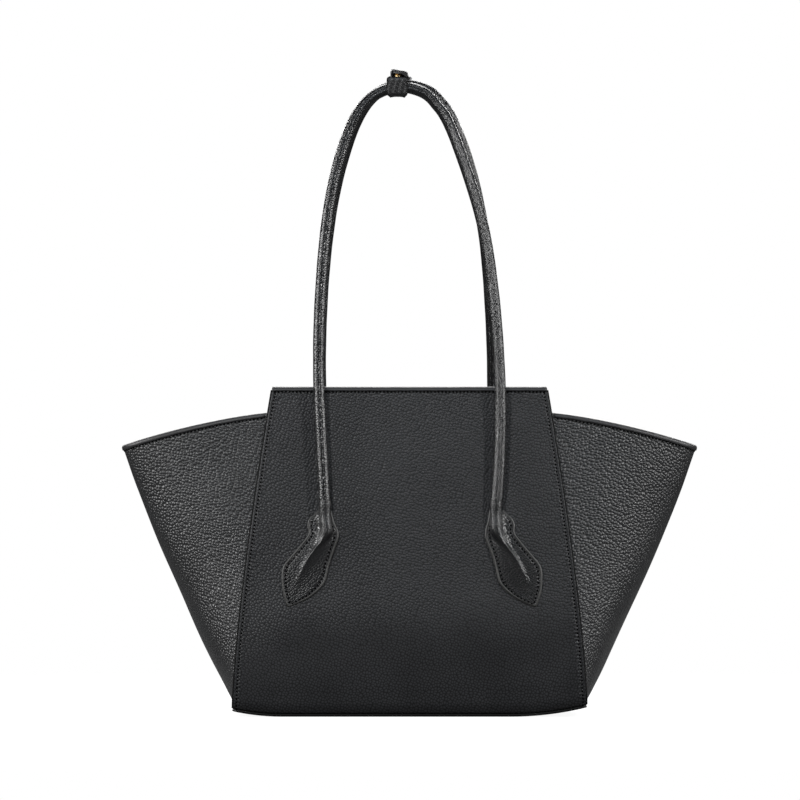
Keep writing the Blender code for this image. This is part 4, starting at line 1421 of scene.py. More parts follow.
@dataclass(frozen=True)
class Base:
    """The base leather, the welt round it, the board and the lining over the board."""

    form: BagForm
    welt_radius: float = 0.0011
    welt_inset: float = 0.0016
    welt_reach: float = 0.0002
    welt_gap: float = 0.0001

    def flat(self, inset_by: float, top: float) -> Surface:
        """Return the upper face of a layer of the base, which follows the drawn-up corners.

        Args:
            inset_by: how far in from the base's edge the layer ends.
            top: its height at the middle.

        Returns:
            The surface.
        """
        form = self.form
        length = form.base_length / 2 - inset_by
        depth = form.base_depth / 2 - form.base_edge_inset - inset_by

        def place(a: Points, b: Points) -> Points:
            """Return the layer's places."""
            x = np.sin((a - 0.5) * math.pi) * length
            past = clamp((np.abs(x) - length + form.base_corner) / form.base_corner)
            reach = depth - form.base_corner * (1 - np.sqrt(1 - past * past))
            return np.stack((x, (2 * b - 1) * reach, top + form.lift(x)), axis=-1)

        return place

    def build(self) -> None:
        """Build every layer of the base, from below, and the welt round it."""
        form = self.form
        top = -form.gap
        for name, inset_by, thickness, rows, finish, slot, solid in (
                ("base_leather", 0.0, form.base_thickness, 50, BODY_LEATHER, "leather", "base_panel"),
                ("base_stiffener", form.board_inset, form.board_thickness, 30, BOARD, "board", "base_board"),
                ("base_cloth", form.board_inset, form.lining_thickness, 50, LINING, "lining", "base_lining")):
            top += form.gap + thickness
            Workshop.sheet(name, self.flat(inset_by, top), (120, rows), thickness, finish, slot, solid)
        depth = form.base_depth - 2 * (form.base_edge_inset - self.welt_reach)
        outline = rounded(form.base_length - 2 * self.welt_inset, depth, form.base_corner, 12)
        x, y = evenly(closed(outline), 0.004).T
        path = np.stack((x, y, self.welt_radius + self.welt_gap + form.lift(x)), axis=-1)
        # The welt is a piped edge in the near-black finish, which paints the shade along the base's bottom
        # edge.
        welt = Workshop.tube("base_welt", path, self.welt_radius, 12, facing=(0.0, 0.0, 1.0))
        Workshop.dress(welt, BLACK_EDGE_AND_SHADOW_LINE, "bag", "leather")


# Handles


@dataclass(frozen=True)
class HandleShape:
    """The arch of one handle, as shares of its spread and rise."""

    name: str
    side: float
    rise: float
    shares: Tuple[Tuple[float, float], ...]


FRONT_HANDLE = HandleShape("front", -1.0, 0.3566, (
    (-0.93, 0.00), (-0.96, 0.12), (-1.00, 0.30), (-0.99, 0.47), (-0.93, 0.645), (-0.825, 0.785),
    (-0.645, 0.907), (-0.42, 0.975), (-0.127, 1.00), (0.15, 0.987), (0.30, 0.957), (0.44, 0.91),
    (0.645, 0.79), (0.845, 0.633), (0.96, 0.43), (1.00, 0.25), (0.985, 0.10), (0.95, 0.00)))
BACK_HANDLE = HandleShape("back", 1.0, 0.3591, (
    (-0.93, 0.00), (-0.96, 0.12), (-0.99, 0.30), (-0.975, 0.47), (-0.905, 0.645), (-0.785, 0.785),
    (-0.60, 0.907), (-0.38, 0.975), (-0.10, 1.00), (0.19, 0.987), (0.35, 0.957), (0.49, 0.91), (0.69, 0.79),
    (0.835, 0.633), (0.91, 0.43), (0.93, 0.25), (0.94, 0.10), (0.95, 0.00)))


@dataclass(frozen=True)
class Handle:
    """One rolled handle: leather round a rope, with a sewn seam on its inner side."""

    form: BagForm
    shape: HandleShape
    spacing: float = 0.0006
    step: float = 0.0028
    collar: float = 0.0008
    seam_depth: float = 0.00045
    seam_width: float = 0.16
    lip_height: float = 0.00012
    unevenness: Tuple[float, float] = (0.010, 0.008)
    ball_share: float = 1.035
    ball_angles: Tuple[float, ...] = (-14.0, 0.0, 12.0, 24.0, 36.0, 48.0, 60.0, 70.0, 80.0)

    def path(self, steps: int) -> Points:
        """Return the handle's centre line from neck to neck, with that many steps between its points."""
        form = self.form
        neck = form.neck_depth()
        top = form.handle_radius + self.spacing / 2
        across, up = np.array(self.shape.shares).T
        depth = neck + (top - neck) * up
        points = np.stack((across * form.handle_spread / 2, self.shape.side * depth,
                           form.neck_height + up * self.shape.rise), axis=-1)
        return smooth_path(smooth_path(points, 2), steps)

    def section(self, angle: Points) -> Points:
        """Return how much larger the tube is at each angle from its sewn side."""
        away = np.abs(((angle - math.pi) + math.pi) % (2 * math.pi) - math.pi)
        lips = bell((away - 2.2 * self.seam_width) / self.seam_width)
        return self.lip_height * lips - self.seam_depth * bell(away / self.seam_width)

    def knuckle(self, label: str, neck: Points, outward: Points) -> None:
        """Close one end of the tube with a leather ball over the rope's end, for where the handle falls.

        Args:
            label: which end it is.
            neck: the tube's end.
            outward: the direction out of it.
        """
        angles = np.radians(self.ball_angles)
        ball = self.form.handle_radius * self.ball_share
        path = neck + outward * (ball * np.sin(angles))[:, None]
        name = f"{self.shape.name}_handle"
        item = Workshop.tube(f"{name}_end_{label}", path, ball * np.cos(angles), 32, (0.0, 1.0, 0.0))
        Workshop.dress(item, HANDLE_LEATHER, name, "handle_leather")

    def build(self) -> None:
        """Build the cover, its ends and its seam."""
        name, form = f"{self.shape.name}_handle", self.form
        path = evenly(self.path(8), self.step)
        self.knuckle("left", path[0], unit(path[0] - path[1]))
        self.knuckle("right", path[-1], unit(path[-1] - path[-2]))
        path[0] += unit(path[1] - path[0]) * self.collar
        path[-1] += unit(path[-2] - path[-1]) * self.collar
        run = np.arange(len(path)) * self.step
        short, long = self.unevenness
        radius = form.handle_radius * (1 + short * np.sin(run * 190.0) + long * np.sin(run * 83.0 + 1.0))
        facing = (0.0, 1.0, 0.0)
        cover = Workshop.tube(f"{name}_leather", path, radius, 40, facing, self.section)
        Workshop.dress(cover, HANDLE_LEATHER, name, "handle_leather", (f"{name}_cover",))
        inner = Workshop.frames(path, facing)[0]
        row = path + inner * (form.handle_radius - self.seam_depth * 0.8)
        sewn = [(row[6:-6], inner[6:-6])]
        Seam(f"{name}_stitches", pitch=0.0040, hole=0.0005, thread=0.00028).sew(sewn, name, "handle_leather")


@dataclass(frozen=True)
class Tab:
    """One leaf-shaped tab with the sleeve round the handle's neck, its painted edge and its stitches.

    Its outer and inner edges and its crest are shares of its width and length. Its ridge's heights, falls and
    rope width are in millimetres, because they are small.
    """

    form: BagForm
    side: Side
    hand: float
    width: float = 0.0467
    length: float = 0.0790
    seat: float = 0.0005
    rim: float = 0.0020
    sleeve_share: float = 0.10
    sleeve_rise: float = 0.0058
    sleeve_radius: float = 0.0051
    wrap: float = 2.05
    stitch_inset: float = 0.0024
    slant: float = 0.055
    outer: Tuple[Tuple[float, float], ...] = (
        (0.100, 0.00), (0.250, 0.05), (0.323, 0.14), (0.323, 0.23), (0.484, 0.36),
        (0.666, 0.485), (0.794, 0.59), (0.818, 0.716), (0.794, 0.86), (0.747, 0.953), (0.724, 1.00))
    inner: Tuple[Tuple[float, float], ...] = (
        (-0.100, 0.00), (-0.135, 0.11), (-0.173, 0.20), (-0.167, 0.283), (-0.084, 0.418),
        (0.000, 0.571), (0.062, 0.726), (0.160, 0.812), (0.338, 0.90), (0.518, 0.956), (0.700, 1.00))
    crest: Tuple[float, ...] = (0.00, 0.00, 0.015, 0.105, 0.245, 0.365, 0.455, 0.530, 0.600, 0.660, 0.712)
    heights: Tuple[float, ...] = (8.9, 8.9, 8.8, 7.6, 6.2, 4.9, 3.7, 2.7, 2.1, 2.0, 2.0)
    inner_falls: Tuple[float, ...] = (4.4, 4.4, 4.8, 6.0, 9.0, 11.0, 12.0, 12.0, 10.0, 8.0, 8.0)
    outer_falls: Tuple[float, ...] = (4.4, 4.4, 4.4, 3.8, 3.0, 2.7, 2.7, 2.8, 3.0, 3.0, 3.0)
    rope_width: float = 5.2
    puff: float = 0.0004
    channel: Tuple[float, float] = (0.0004, 0.0008)
    bead: float = 0.00105
    bead_step: float = 0.0015
    bead_sink: float = 0.0006
    leather: float = 0.0016
    sewn: Tuple[float, float] = (0.14, 0.955)
    seam_sink: float = 0.0004
    bend_zone: Tuple[float, float] = (-0.005, 0.0045)

    @property
    def name(self) -> str:
        """Return the tab's name by its place as the front is seen."""
        seen = -self.hand if self.side is Side.BACK else self.hand
        return f"{self.side.value}_{'right' if seen > 0 else 'left'}"

    def neck(self) -> Points:
        """Return the place of the handle's neck, as on the front."""
        share = 0.95 if self.hand > 0 else 0.93
        form = self.form
        return np.array((self.hand * share * form.handle_spread / 2, -form.neck_depth(), form.neck_height))

    def lookup(self, table: Sequence, t: Points) -> Points:
        """Return smoothed values of a table.

        Args:
            table: its values, evenly spaced down the tab.
            t: shares down the tab.

        Returns:
            The values there, one row to a share.
        """
        fine = smooth_path(np.array(table, float).reshape(len(table), -1), 8)
        stops = np.linspace(0.0, 1.0, len(fine))
        return np.stack([np.interp(t, stops, column) for column in fine.T], axis=-1)

    def ridge(self, across: Points, down: Points, w: Points) -> Points:
        """Return how high the leaf stands over its rim, from 0 to its full height at its ridge.

        Args:
            across: places across, as shares of the tab's width.
            down: places down, as shares of its length.
            w: the same places across, from -1 at the inner edge to 1 at the outer edge.

        Returns:
            The height above the rim.
        """
        crest, top, inward, outward = (self.lookup(table, down)[:, 0] for table in (
            self.crest, self.heights, self.inner_falls, self.outer_falls))
        away = (across - crest) * self.width * 1000
        soft = np.sqrt((away / np.where(away < 0, inward, outward)) ** 2 + 0.010) - math.sqrt(0.010)
        rope = np.exp(-((np.abs(away) / self.rope_width) ** 3))
        facet = (1 - soft + np.sqrt((1 - soft) ** 2 + 0.02)) / 2
        tent = np.where(away < 0, np.exp(-1.5 * soft), facet)
        bend = ease((down - 0.22) / 0.16)
        bump = (rope * (1 - bend) + tent * bend) * ease((1 - np.abs(w)) / 0.22)
        return np.maximum(0.0, top / 1000 - self.rim) * bump

    def surface(self, w: Points, b: Points) -> Points:
        """Return the tab's outer face.

        Args:
            w: from -1 at the inner edge to 1 at the outer edge.
            b: from 0 at the sleeve's top to 1 at the tip.

        Returns:
            The places, as on the front.
        """
        form = self.form
        neck = self.neck()
        t = clamp((b - self.sleeve_share) / (1 - self.sleeve_share))
        above = self.sleeve_rise * clamp(1 - b / self.sleeve_share)
        outer, inner = self.lookup(self.outer, t), self.lookup(self.inner, t)
        across, down = (inner + (outer - inner) * ((w + 1) / 2)[:, None]).T
        slant = self.slant * ease(down / 0.3) * (self.hand < 0)
        x = self.hand * (abs(neck[0]) + (across - slant) * self.width)
        z = form.neck_height - form.handle_radius - form.gap - down * self.length
        within = 1 - np.abs(w)
        span = (outer - inner)[:, 0] * self.width / 2
        depth, breadth = self.channel
        channel = depth * bell((span * within - self.stitch_inset) / breadth)
        height = self.rim + self.puff * ease(within / 0.20) - channel + self.ridge(across, down, w)
        foot = form.panel(x / form.half_width(z), z)[:, 1]
        leaf = np.stack((x, foot - self.seat - height, z), axis=-1)
        angle = w * self.wrap
        fall = above - t * self.length
        middle = np.stack((neck[0] + 0.0 * t, neck[1] + above * 0.16, neck[2] + fall), axis=-1)
        arc = np.stack((self.hand * np.sin(angle), -np.cos(angle), 0.0 * angle), axis=-1)
        share = ease((t + 0.02) / 0.17)[:, None]
        return (middle + arc * self.sleeve_radius) * (1 - share) + leaf * share

    def build(self) -> None:
        """Build the tab, its edge and its stitches."""
        name = f"{self.name}_tab"

        def leaf(a: Points, b: Points) -> Points:
            """Return the tab's places."""
            return self.side.put(self.surface(2 * a - 1, b))

        tab = Workshop.grid(f"{name}_leather", leaf, 56, 96, flip=self.hand > 0)
        Workshop.thicken(tab, self.leather, settle=True)
        Workshop.dress(tab, TAB_LEATHER, "bag", "handle_leather", (f"{self.name}_handle_tab",))
        down = np.linspace(self.sleeve_share + 0.03, 1.0, 90)
        loop = evenly(self.rim_path(np.ones_like(down), down), self.bead_step)
        loop[:, 1] += self.bead_sink
        edge = Workshop.tube(f"{name}_edge", self.side.put(loop), self.bead, 10)
        Workshop.dress(edge, TAB_EDGE_PAINT, "bag", "handle_leather")
        self.sew(name)
        pivot = self.side.put(self.neck()[None, :])[0]
        low, high = (tuple(pivot + np.array((0.0, 0.0, shift))) for shift in self.bend_zone)
        for piece in (tab, edge):
            piece.parent = None
            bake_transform(piece)

    def rim_path(self, w: Points, down: Points) -> Points:
        """Return places down the tab's outer side and up its inner side, that far out."""
        return np.vstack((self.surface(w, down), self.surface(-w, down)[::-1]))

    def sew(self, name: str) -> None:
        """Sew the tab down along its rim."""
        down = np.linspace(self.sleeve_share + self.sewn[0], self.sewn[1], 80)
        ones = np.ones_like(down)
        half = np.linalg.norm(self.surface(ones, down) - self.surface(-ones, down), axis=1) / 2
        path = self.rim_path(clamp(1 - self.stitch_inset / half), down)
        path[:, 1] -= self.seam_sink
        outward = np.tile((0.0, -1.0, 0.1), (len(path), 1))
        Seam(f"{name}_stitches", pitch=0.0033, hole=0.00095, thread=0.00024).sew(
            [(self.side.put(path), self.side.put(outward))], "bag", "handle_leather")


# The keeper


@dataclass(frozen=True)
class Keeper:
    """The keeper at the top of the handles: band, flap, strap, snap and ring.

    The corners of its flap and its strap are in millimetres, measured from the top of the band.
    """

    left: float = -0.01875
    right: float = -0.0024
    half_depth: float = 0.0116
    bottom: float = 0.5262
    top: float = 0.5436
    corner: float = 0.0034
    chamfer: float = 0.0024
    thickness: float = 0.0014
    snap_place: Tuple[float, float] = (-0.0104, -0.0046)
    snap_rises: Tuple[float, float] = (0.0001, 0.0017)
    flap_corners: Tuple[Tuple[float, float], ...] = (
        (-15.5, -0.5), (-15.8, 1.2), (-16.0, 3.0), (-15.7, 4.8), (-14.7, 5.8), (-12.6, 5.8), (-9.0, 5.2),
        (-5.6, 4.7), (-3.2, 4.1), (-1.6, 3.0), (-0.8, 1.4), (-0.5, -0.6), (-1.4, -1.0), (-3.0, -0.4),
        (-4.2, 0.5), (-5.4, 1.5), (-7.0, 2.0), (-10.0, 2.4), (-12.6, 2.6), (-14.1, 2.3), (-14.7, 1.3),
        (-15.0, -0.4))
    strap_corners: Tuple[Tuple[float, float], ...] = (
        (0.3, -6.3), (0.9, -6.1), (1.1, -5.0), (1.2, -2.0), (1.2, 1.0), (1.0, 3.4), (0.3, 4.8), (-0.8, 5.0),
        (-1.0, 4.4), (-0.2, 3.6), (0.1, 2.4), (0.1, 0.0), (0.0, -3.0), (0.0, -6.0))
    strap_zone: Tuple[float, float] = (0.0004, 0.0046)
    side_inset: float = 0.0024
    cut_left: float = 0.0026
    cut_right: float = 0.0022
    sag: float = 0.0005
    dent: float = 0.0003
    flap_gap: float = 0.0003
    flap_draw: float = 0.0007
    flap_sway: float = 0.0002
    flap_reach: float = 0.985
    ring_radius: float = 0.0015
    ring_wire: float = 0.0006
    ring_shift: float = 0.0013
    loop_tuck: float = 0.0012
    loop_reach: float = 0.0024
    cord: float = 0.00078

    def band_place(self, outline: Points) -> Surface:
        """Return the band's outer face, with cut lower corners and a hollow lower edge.

        Args:
            outline: the band's outline round both handles, as depth and height pairs.

        Returns:
            The surface.
        """
        span, middle = self.top - self.bottom, (self.top + self.bottom) / 2

        def place(a: Points, b: Points) -> Points:
            """Return the band's places."""
            depth, height = outline[np.rint(a * (len(outline) - 1)).astype(int)].T
            low = clamp(1 - (height - self.bottom) / self.chamfer)
            high = clamp(1 - (self.top - height) / (self.chamfer * 0.8))
            left = self.left + self.cut_left * low + self.side_inset * high ** 2
            right = self.right - self.cut_right * low
            x = left + (right - left) * b
            sag = self.sag * (1 - (2 * b - 1) ** 2) * ease(1 - (height - self.bottom) / (span * 0.4))
            dents = np.sin(x * 1300.0 + height * 600.0) * np.sin(height * 1000.0 + depth * 240.0)
            away = unit(np.stack((depth, height - middle), axis=-1)) * (self.dent * dents)[:, None]
            return np.stack((x, depth + away[:, 0], height + sag + away[:, 1]), axis=-1)

        return place

    def build(self) -> None:
        """Build the keeper."""
        middle = np.array((0.0, 0.0, (self.top + self.bottom) / 2))
        outline = closed(rounded(2 * self.half_depth, self.top - self.bottom, self.corner, 10))
        outline = evenly(outline + middle[1:], 0.0008)
        place = self.band_place(outline)
        band = Workshop.grid("keeper_band_leather", place, len(outline) - 1, 22, closed=True)
        Workshop.thicken(band, self.thickness)
        Workshop.dress(band, KEEPER_LEATHER, "back_handle", "handle_leather", ("keeper_band",))
        shares = np.linspace(0.0, 1.0, len(outline))
        for label, share in (("left", 0.0), ("right", 1.0)):
            rim = place(shares, np.full_like(shares, share))
            inward = (middle - rim) * np.array((0.0, 1.0, 1.0))
            rim = rim + unit(inward) * self.thickness * 0.5
            edge = Workshop.tube(f"keeper_band_edge_{label}", rim, self.cord, 8, facing=(1.0, 0.0, 0.0))
            Workshop.dress(edge, BLACK_EDGE_AND_SHADOW_LINE, "back_handle", "handle_leather")
        self.flap()
        self.strap()
        self.snap()
        self.ring()

    @staticmethod
    def drawn(corners: Pairs, across: float, up: float) -> Points:
        """Return a smooth closed outline through corners in millimetres, moved by two lengths in metres."""
        return smooth_path(closed(corners) / 1000 + np.array((across, up)), 4)

    def flap(self) -> None:
        """Build the thick rounded flap over the snap."""
        outline = self.drawn(self.flap_corners, 0.0, self.top + self.flap_gap)
        centre = outline.mean(axis=0)

        def place(a: Points, b: Points) -> Points:
            """Return the flap's places, drawn in at both ends."""
            index = np.rint(a * (len(outline) - 1)).astype(int)
            end = clamp((np.abs(2 * b - 1) - 0.86) / 0.14)
            drawn = unit(centre - outline[index]) * (self.flap_draw * end ** 2)[:, None]
            x, height = (outline[index] + drawn).T
            sway = self.flap_sway * np.sin(b * 9.0 + index * 0.08)
            return np.stack((x, (2 * b - 1) * self.half_depth * self.flap_reach, height + sway), axis=-1)

        item = Workshop.grid("keeper_flap_leather", place, len(outline) - 1, 16, closed=True, caps=True)
        item.data.set_sharp_from_angle(angle=math.radians(60))
        Workshop.dress(item, KEEPER_LEATHER, "keeper_flap", "handle_leather", ("keeper_flap",))

    def strap(self) -> None:
        """Build the short strap at the back that joins the flap to the band."""
        outline = self.drawn(self.strap_corners, self.half_depth, self.top)
        centre = outline.mean(axis=0)
        middle, half = (self.left + self.right) / 2, (self.right - self.left) / 2 - self.side_inset

        def place(a: Points, b: Points) -> Points:
            """Return the strap's places, thinner at its two sides."""
            across = 2 * b - 1
            slim = 1 - 0.5 * clamp((np.abs(across) - 0.9) / 0.1) ** 2
            depth, height = outline[np.rint(a * (len(outline) - 1)).astype(int)].T
            return np.stack((middle + across * half, centre[0] + (depth - centre[0]) * slim, height), axis=-1)

        item = Workshop.grid("keeper_strap_leather", place, len(outline) - 1, 16, closed=True, caps=True)
        Workshop.dress(item, KEEPER_LEATHER, "back_handle", "handle_leather")
        item.parent = None
        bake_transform(item)

    def snap(self) -> None:
        """Build the two brass halves of the snap under the flap."""
        x, y = self.snap_place
        stud = ((0.0, 0.0015), (0.0016, 0.0015), (0.0019, 0.0013), (0.0020, 0.0011), (0.0036, 0.0011),
                (0.0041, 0.0009), (0.0043, 0.0005), (0.0043, -0.0004), (0.0, -0.0004))
        cap = ((0.0, 0.0012), (0.0036, 0.0012), (0.0041, 0.0009), (0.0041, 0.0004), (0.0036, 0.0), (0.0, 0.0))
        for half, profile, rise, body in (("stud", stud, self.snap_rises[0], "back_handle"),
                                          ("cap", cap, self.snap_rises[1], "keeper_flap")):
            place = Matrix.Translation((x, y, self.top + rise))
            item = Workshop.lathe(f"keeper_snap_{half}_brass", profile, place)
            Workshop.dress(item, BRASS, body, "brass", (f"keeper_snap_{half}",))

    def ring(self) -> None:
        """Build the small wire ring beside the band, and the leather loop that holds it."""
        low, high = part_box("keeper_ring")
        middle = (np.array(low) + np.array(high)) / 2 - np.array((self.ring_shift, 0.0, 0.0))
        angle = np.linspace(0.0, 2 * math.pi, 49)
        path = middle + self.ring_radius * np.stack((np.cos(angle), 0.0 * angle, np.sin(angle)), axis=-1)
        item = Workshop.tube("keeper_ring_wire", path, self.ring_wire, 14, facing=(0.0, 1.0, 0.0))
        Workshop.dress(item, STEEL, "back_handle", "steel", ("keeper_ring",))
        turn = np.linspace(-1.0, 1.0, 25)
        start = self.right - self.loop_tuck
        x = start + (middle[0] - start) * np.cos(turn * math.pi / 2) ** 0.5
        loop = np.stack((x, turn * self.loop_reach, middle[2] + 0.0 * turn), axis=-1)
        item = Workshop.tube("keeper_ring_loop", loop, self.cord, 12, facing=(0.0, 0.0, 1.0))
        Workshop.dress(item, BLACK_EDGE_AND_SHADOW_LINE, "back_handle", "handle_leather")


# Fittings inside


@dataclass(frozen=True)
class ZipPocket:
    """The zipped pocket on the back lining."""

    form: BagForm
    length: float = 0.1300
    opening: float = 0.0085
    border: float = 0.0060
    frame_thickness: float = 0.0010
    frame_gap: float = 0.0003
    frame_corners: Tuple[float, float] = (0.003, 0.0015)
    tape_corner: float = 0.0006
    tape: float = 0.0007
    height: float = 0.2140
    drop: float = 0.1000
    slider: Tuple[float, float, float] = (0.0100, 0.0066, 0.0026)
    pull: Tuple[float, float, float] = (0.0220, 0.0070, 0.0012)
    tooth: float = 0.0016
    tooth_size: Tuple[float, float, float] = (0.000672, 0.0024, 0.0007)
    tooth_shift: float = 0.0009
    bridge: Tuple[float, float, float] = (0.0034, 0.0006, 0.0005)
    tooth_margin: float = 0.004
    cloth: float = 0.0008
    clearance: float = 0.0006
    seam_inset: float = 0.0016
    seam_corner: float = 0.0020

    def build(self) -> None:
        """Build the frame, the tape with its teeth, the slider, the pull and the pocket."""
        form = self.form
        wall = form.panel_thickness + 2 * form.gap + form.lining_thickness
        reach, tall = self.length / 2 + self.border, self.opening + 2 * self.border
        frame = form.wall_frame(reach, self.height, wall)
        outline = rounded(self.length + self.border, self.opening + self.border, self.tape_corner)
        tape = Workshop.slab("zip_tape_cloth", outline, self.tape, frame, soften=0.0001)
        Workshop.dress(tape, TAPE, "bag", "lining", ("zip_tape",))
        lift = self.tape + form.gap
        seat = frame @ Matrix.Translation((0.0, 0.0, lift))
        outer, inner = self.frame_corners
        surround = Workshop.slab("zip_frame_leather", rounded(2 * reach, tall, outer), self.frame_thickness,
                                 seat, hole=rounded(self.length, self.opening, inner), soften=0.0003)
        Workshop.dress(surround, FRAME_LEATHER, "bag", "leather", ("zip_frame",))
        self.teeth(frame)
        sewn = rounded(2 * (reach - self.seam_inset), tall - 2 * self.seam_inset, self.seam_corner)
        spots = [tuple(frame @ Vector((x, y, lift + self.frame_thickness))) for x, y in closed(sewn)]
        outward = np.tile(tuple(frame.to_3x3() @ Vector((0.0, 0.0, 1.0))), (len(spots), 1))
        seam = Seam("zip_frame_stitches", pitch=0.0032, hole=0.0004, thread=0.00022)
        seam.sew([(np.array(spots), outward)], "bag", "leather")
        self.fastener(frame, lift)
        self.pocket(wall, reach, self.height - tall / 2 - form.gap)

    def teeth(self, frame: Matrix) -> None:
        """Build two rows of teeth that meet along the middle of the tape."""
        mesh = bmesh.new()
        count = int((self.length - self.tooth_margin) / self.tooth)
        size = Matrix.Diagonal((*self.tooth_size, 1.0))
        for index in range(count):
            x = (index - count / 2 + 0.5) * self.tooth
            for row in (-1, 1):
                spot = (x + row * self.tooth / 4, row * self.tooth_shift, self.tape + self.frame_gap)
                shape = Matrix.Translation(spot)
                bmesh.ops.create_cube(mesh, size=1.0, matrix=frame @ shape @ size)
        Workshop.dress(Workshop.to_object("zip_teeth", mesh, smooth=False), BRASS, "bag", "brass")

    @staticmethod
    def scaled(half: Pairs, first: float, second: float, flip: Tuple[int, int]) -> Pairs:
        """Return a whole outline from half of one.

        Args:
            half: its places, as shares of two lengths.
            first: the length along its own X.
            second: the length along its own Y.
            flip: the factors that turn the half into the other one.

        Returns:
            The outline's places in order.
        """
        pairs = [(x * first, y * second) for x, y in half]
        return pairs + [(x * flip[0], y * flip[1]) for x, y in reversed(pairs)]

    def fastener(self, frame: Matrix, lift: float) -> None:
        """Build the slider with its bridge, and the pull with its eye.

        Args:
            frame: the zip's place.
            lift: how far in front of the tape's back they lie.
        """
        length, width, thickness = self.slider
        start = -self.length / 2 + length / 2 + self.form.gap
        body = self.scaled(((-0.5, -0.32), (-0.30, -0.5), (0.34, -0.5), (0.5, -0.36)), length, width, (1, -1))
        seat = frame @ Matrix.Translation((start, 0.0, lift))
        slider = Workshop.slab("zip_slider_brass", body, thickness * 0.72, seat, soften=0.0005)
        Workshop.dress(slider, BRASS, "zip_slider", "brass", ("zip_slider",))
        across, rise, radius = self.bridge
        foot = lift + thickness * 0.70
        arc = [frame @ Vector((start + across * math.cos(angle), 0.0, foot + rise * math.sin(angle)))
               for angle in np.linspace(0.0, math.pi, 17)]
        bridge = Workshop.tube("zip_slider_bridge", np.array([tuple(spot) for spot in arc]), radius, 10,
                               facing=tuple(frame.to_3x3() @ Vector((0.0, 1.0, 0.0))))
        Workshop.dress(bridge, BRASS, "zip_slider", "brass")
        long, wide, thick = self.pull
        top = frame @ Vector((start, 0.0, lift + thickness + self.form.gap + thick / 2))
        half = ((0.30, -0.5), (0.48, -0.42), (0.42, -0.1), (0.26, 0.30), (0.34, 0.42), (0.24, 0.5))
        outline = self.scaled(half, wide, long, (-1, 1))
        upright = Matrix(((1, 0, 0, 0), (0, 0, -1, 0), (0, 1, 0, 0), (0, 0, 0, 1)))
        place = Matrix.Translation(top) @ Matrix.Translation((0.0, thick / 2, -long / 2)) @ upright
        eye = [(x * 0.35, y * 0.16 - long * 0.30) for x, y in outline]
        pull = Workshop.slab("zip_pull_brass", outline, thick, place, hole=eye, soften=0.0003)
        Workshop.dress(pull, BRASS, "zip_pull", "brass", ("zip_pull",))

    def pocket(self, wall: float, reach: float, top: float) -> None:
        """Build the pocket's cloth below the zip.

        Args:
            wall: how deep behind the panel's outer face the lining ends.
            reach: half the cloth's width.
            top: its upper edge's height.
        """
        surface = self.form.inset(self.form.panel, wall - self.form.gap + self.clearance)

        def place(a: Points, b: Points) -> Points:
            """Return the pocket's places."""
            level = top - self.drop + self.drop * b
            return Side.BACK.put(surface((2 * a - 1) * reach / self.form.half_width(level), level))

        cloth = Workshop.grid("zip_pocket_cloth", place, 90, 60, flip=True)
        Workshop.thicken(cloth, self.cloth).modifiers["thickness"].offset = 1.0
        Workshop.dress(cloth, LINING, "bag", "lining", ("zip_pocket_panel",))


@dataclass(frozen=True)
class SlipPocket:
    """The open pocket sewn flat on the front lining."""

    form: BagForm
    width: float = 0.1300
    top: float = 0.2050
    drop: float = 0.0900
    hem: float = 0.0090
    cloth: float = 0.0008
    clearance: float = 0.0006
    seam_inset: float = 0.0020
    seam_gap: float = 0.0010

    def build(self) -> None:
        """Build the pocket's cloth, its hem and its stitches."""
        form = self.form
        wall = form.panel_thickness + form.gap + form.lining_thickness + self.clearance
        surface, inner = (form.inset(form.panel, depth) for depth in (wall, wall + self.cloth))
        foot = self.top - self.drop

        def place(a: Points, b: Points) -> Points:
            """Return the pocket's inner face."""
            level = foot + self.drop * b
            return surface((a - 0.5) * self.width / form.half_width(level), level)

        Workshop.sheet("slip_pocket_cloth", place, (90, 60), self.cloth, LINING, "lining",
                       "slip_pocket_panel")
        edge = self.width / 2 - self.seam_inset
        x = np.linspace(-edge, edge, 60)
        drop = np.linspace(self.top - self.seam_gap, foot + self.seam_inset, 50)
        lines = [(x, np.full_like(x, level)) for level in (self.top - self.hem, foot + self.seam_inset)]
        lines += [(np.full_like(drop, hand * edge), drop) for hand in (-1.0, 1.0)]
        rows = []
        for spots, levels in lines:
            share = spots / form.half_width(levels)
            rows.append((inner(share, levels), -form.normal(form.panel, share, levels)))
        seam = Seam("slip_pocket_stitches", pitch=0.0036, hole=0.0004, thread=0.00024)
        seam.sew(rows, "bag", "lining")


@dataclass(frozen=True)
class MagneticSnap:
    """The two halves of the magnetic snap on the facings."""

    form: BagForm
    radius: float = 0.0090
    thickness: float = 0.0020
    boss: float = 0.0035
    rise: float = 0.0014
    drop: float = 0.0200
    edge: float = 0.0005

    def build(self) -> None:
        """Build the stud behind and the socket in front."""
        form, edge, boss, radius, thickness = self.form, self.edge, self.boss, self.radius, self.thickness
        wall = form.panel_thickness + 2 * form.gap + form.facing_thickness
        frame = form.wall_frame(radius, form.panel_top - self.drop, wall)
        full, lip = thickness + self.rise, thickness + self.rise / 2
        stud = ((0.0, full), (boss - edge, full), (boss - 0.0001, full - 0.0002), (boss, full - edge),
                (boss, thickness + 0.0002), (boss + 0.0004, thickness), (radius - 0.0018, thickness),
                (radius - 0.0015, thickness - 0.0002), (radius - 0.0012, thickness),
                (radius - edge, thickness), (radius, thickness - edge), (radius, 0.0), (0.0, 0.0))
        socket = ((0.0, thickness / 2), (boss, thickness / 2), (boss + 0.0003, lip - edge),
                  (boss + 0.0008, lip), (radius - 0.0012, lip), (radius - 0.0004, lip - 0.0003),
                  (radius, thickness - 0.0002), (radius, 0.0), (0.0, 0.0))
        for half, profile, turn in (("stud", stud, 0.0), ("socket", socket, math.pi)):
            place = Matrix.Rotation(turn, 4, "Z") @ frame
            item = Workshop.lathe(f"magnetic_snap_{half}_brass", profile, place)
            Workshop.dress(item, BRASS, "bag", "brass", (f"magnetic_snap_{half}",))


# The studio


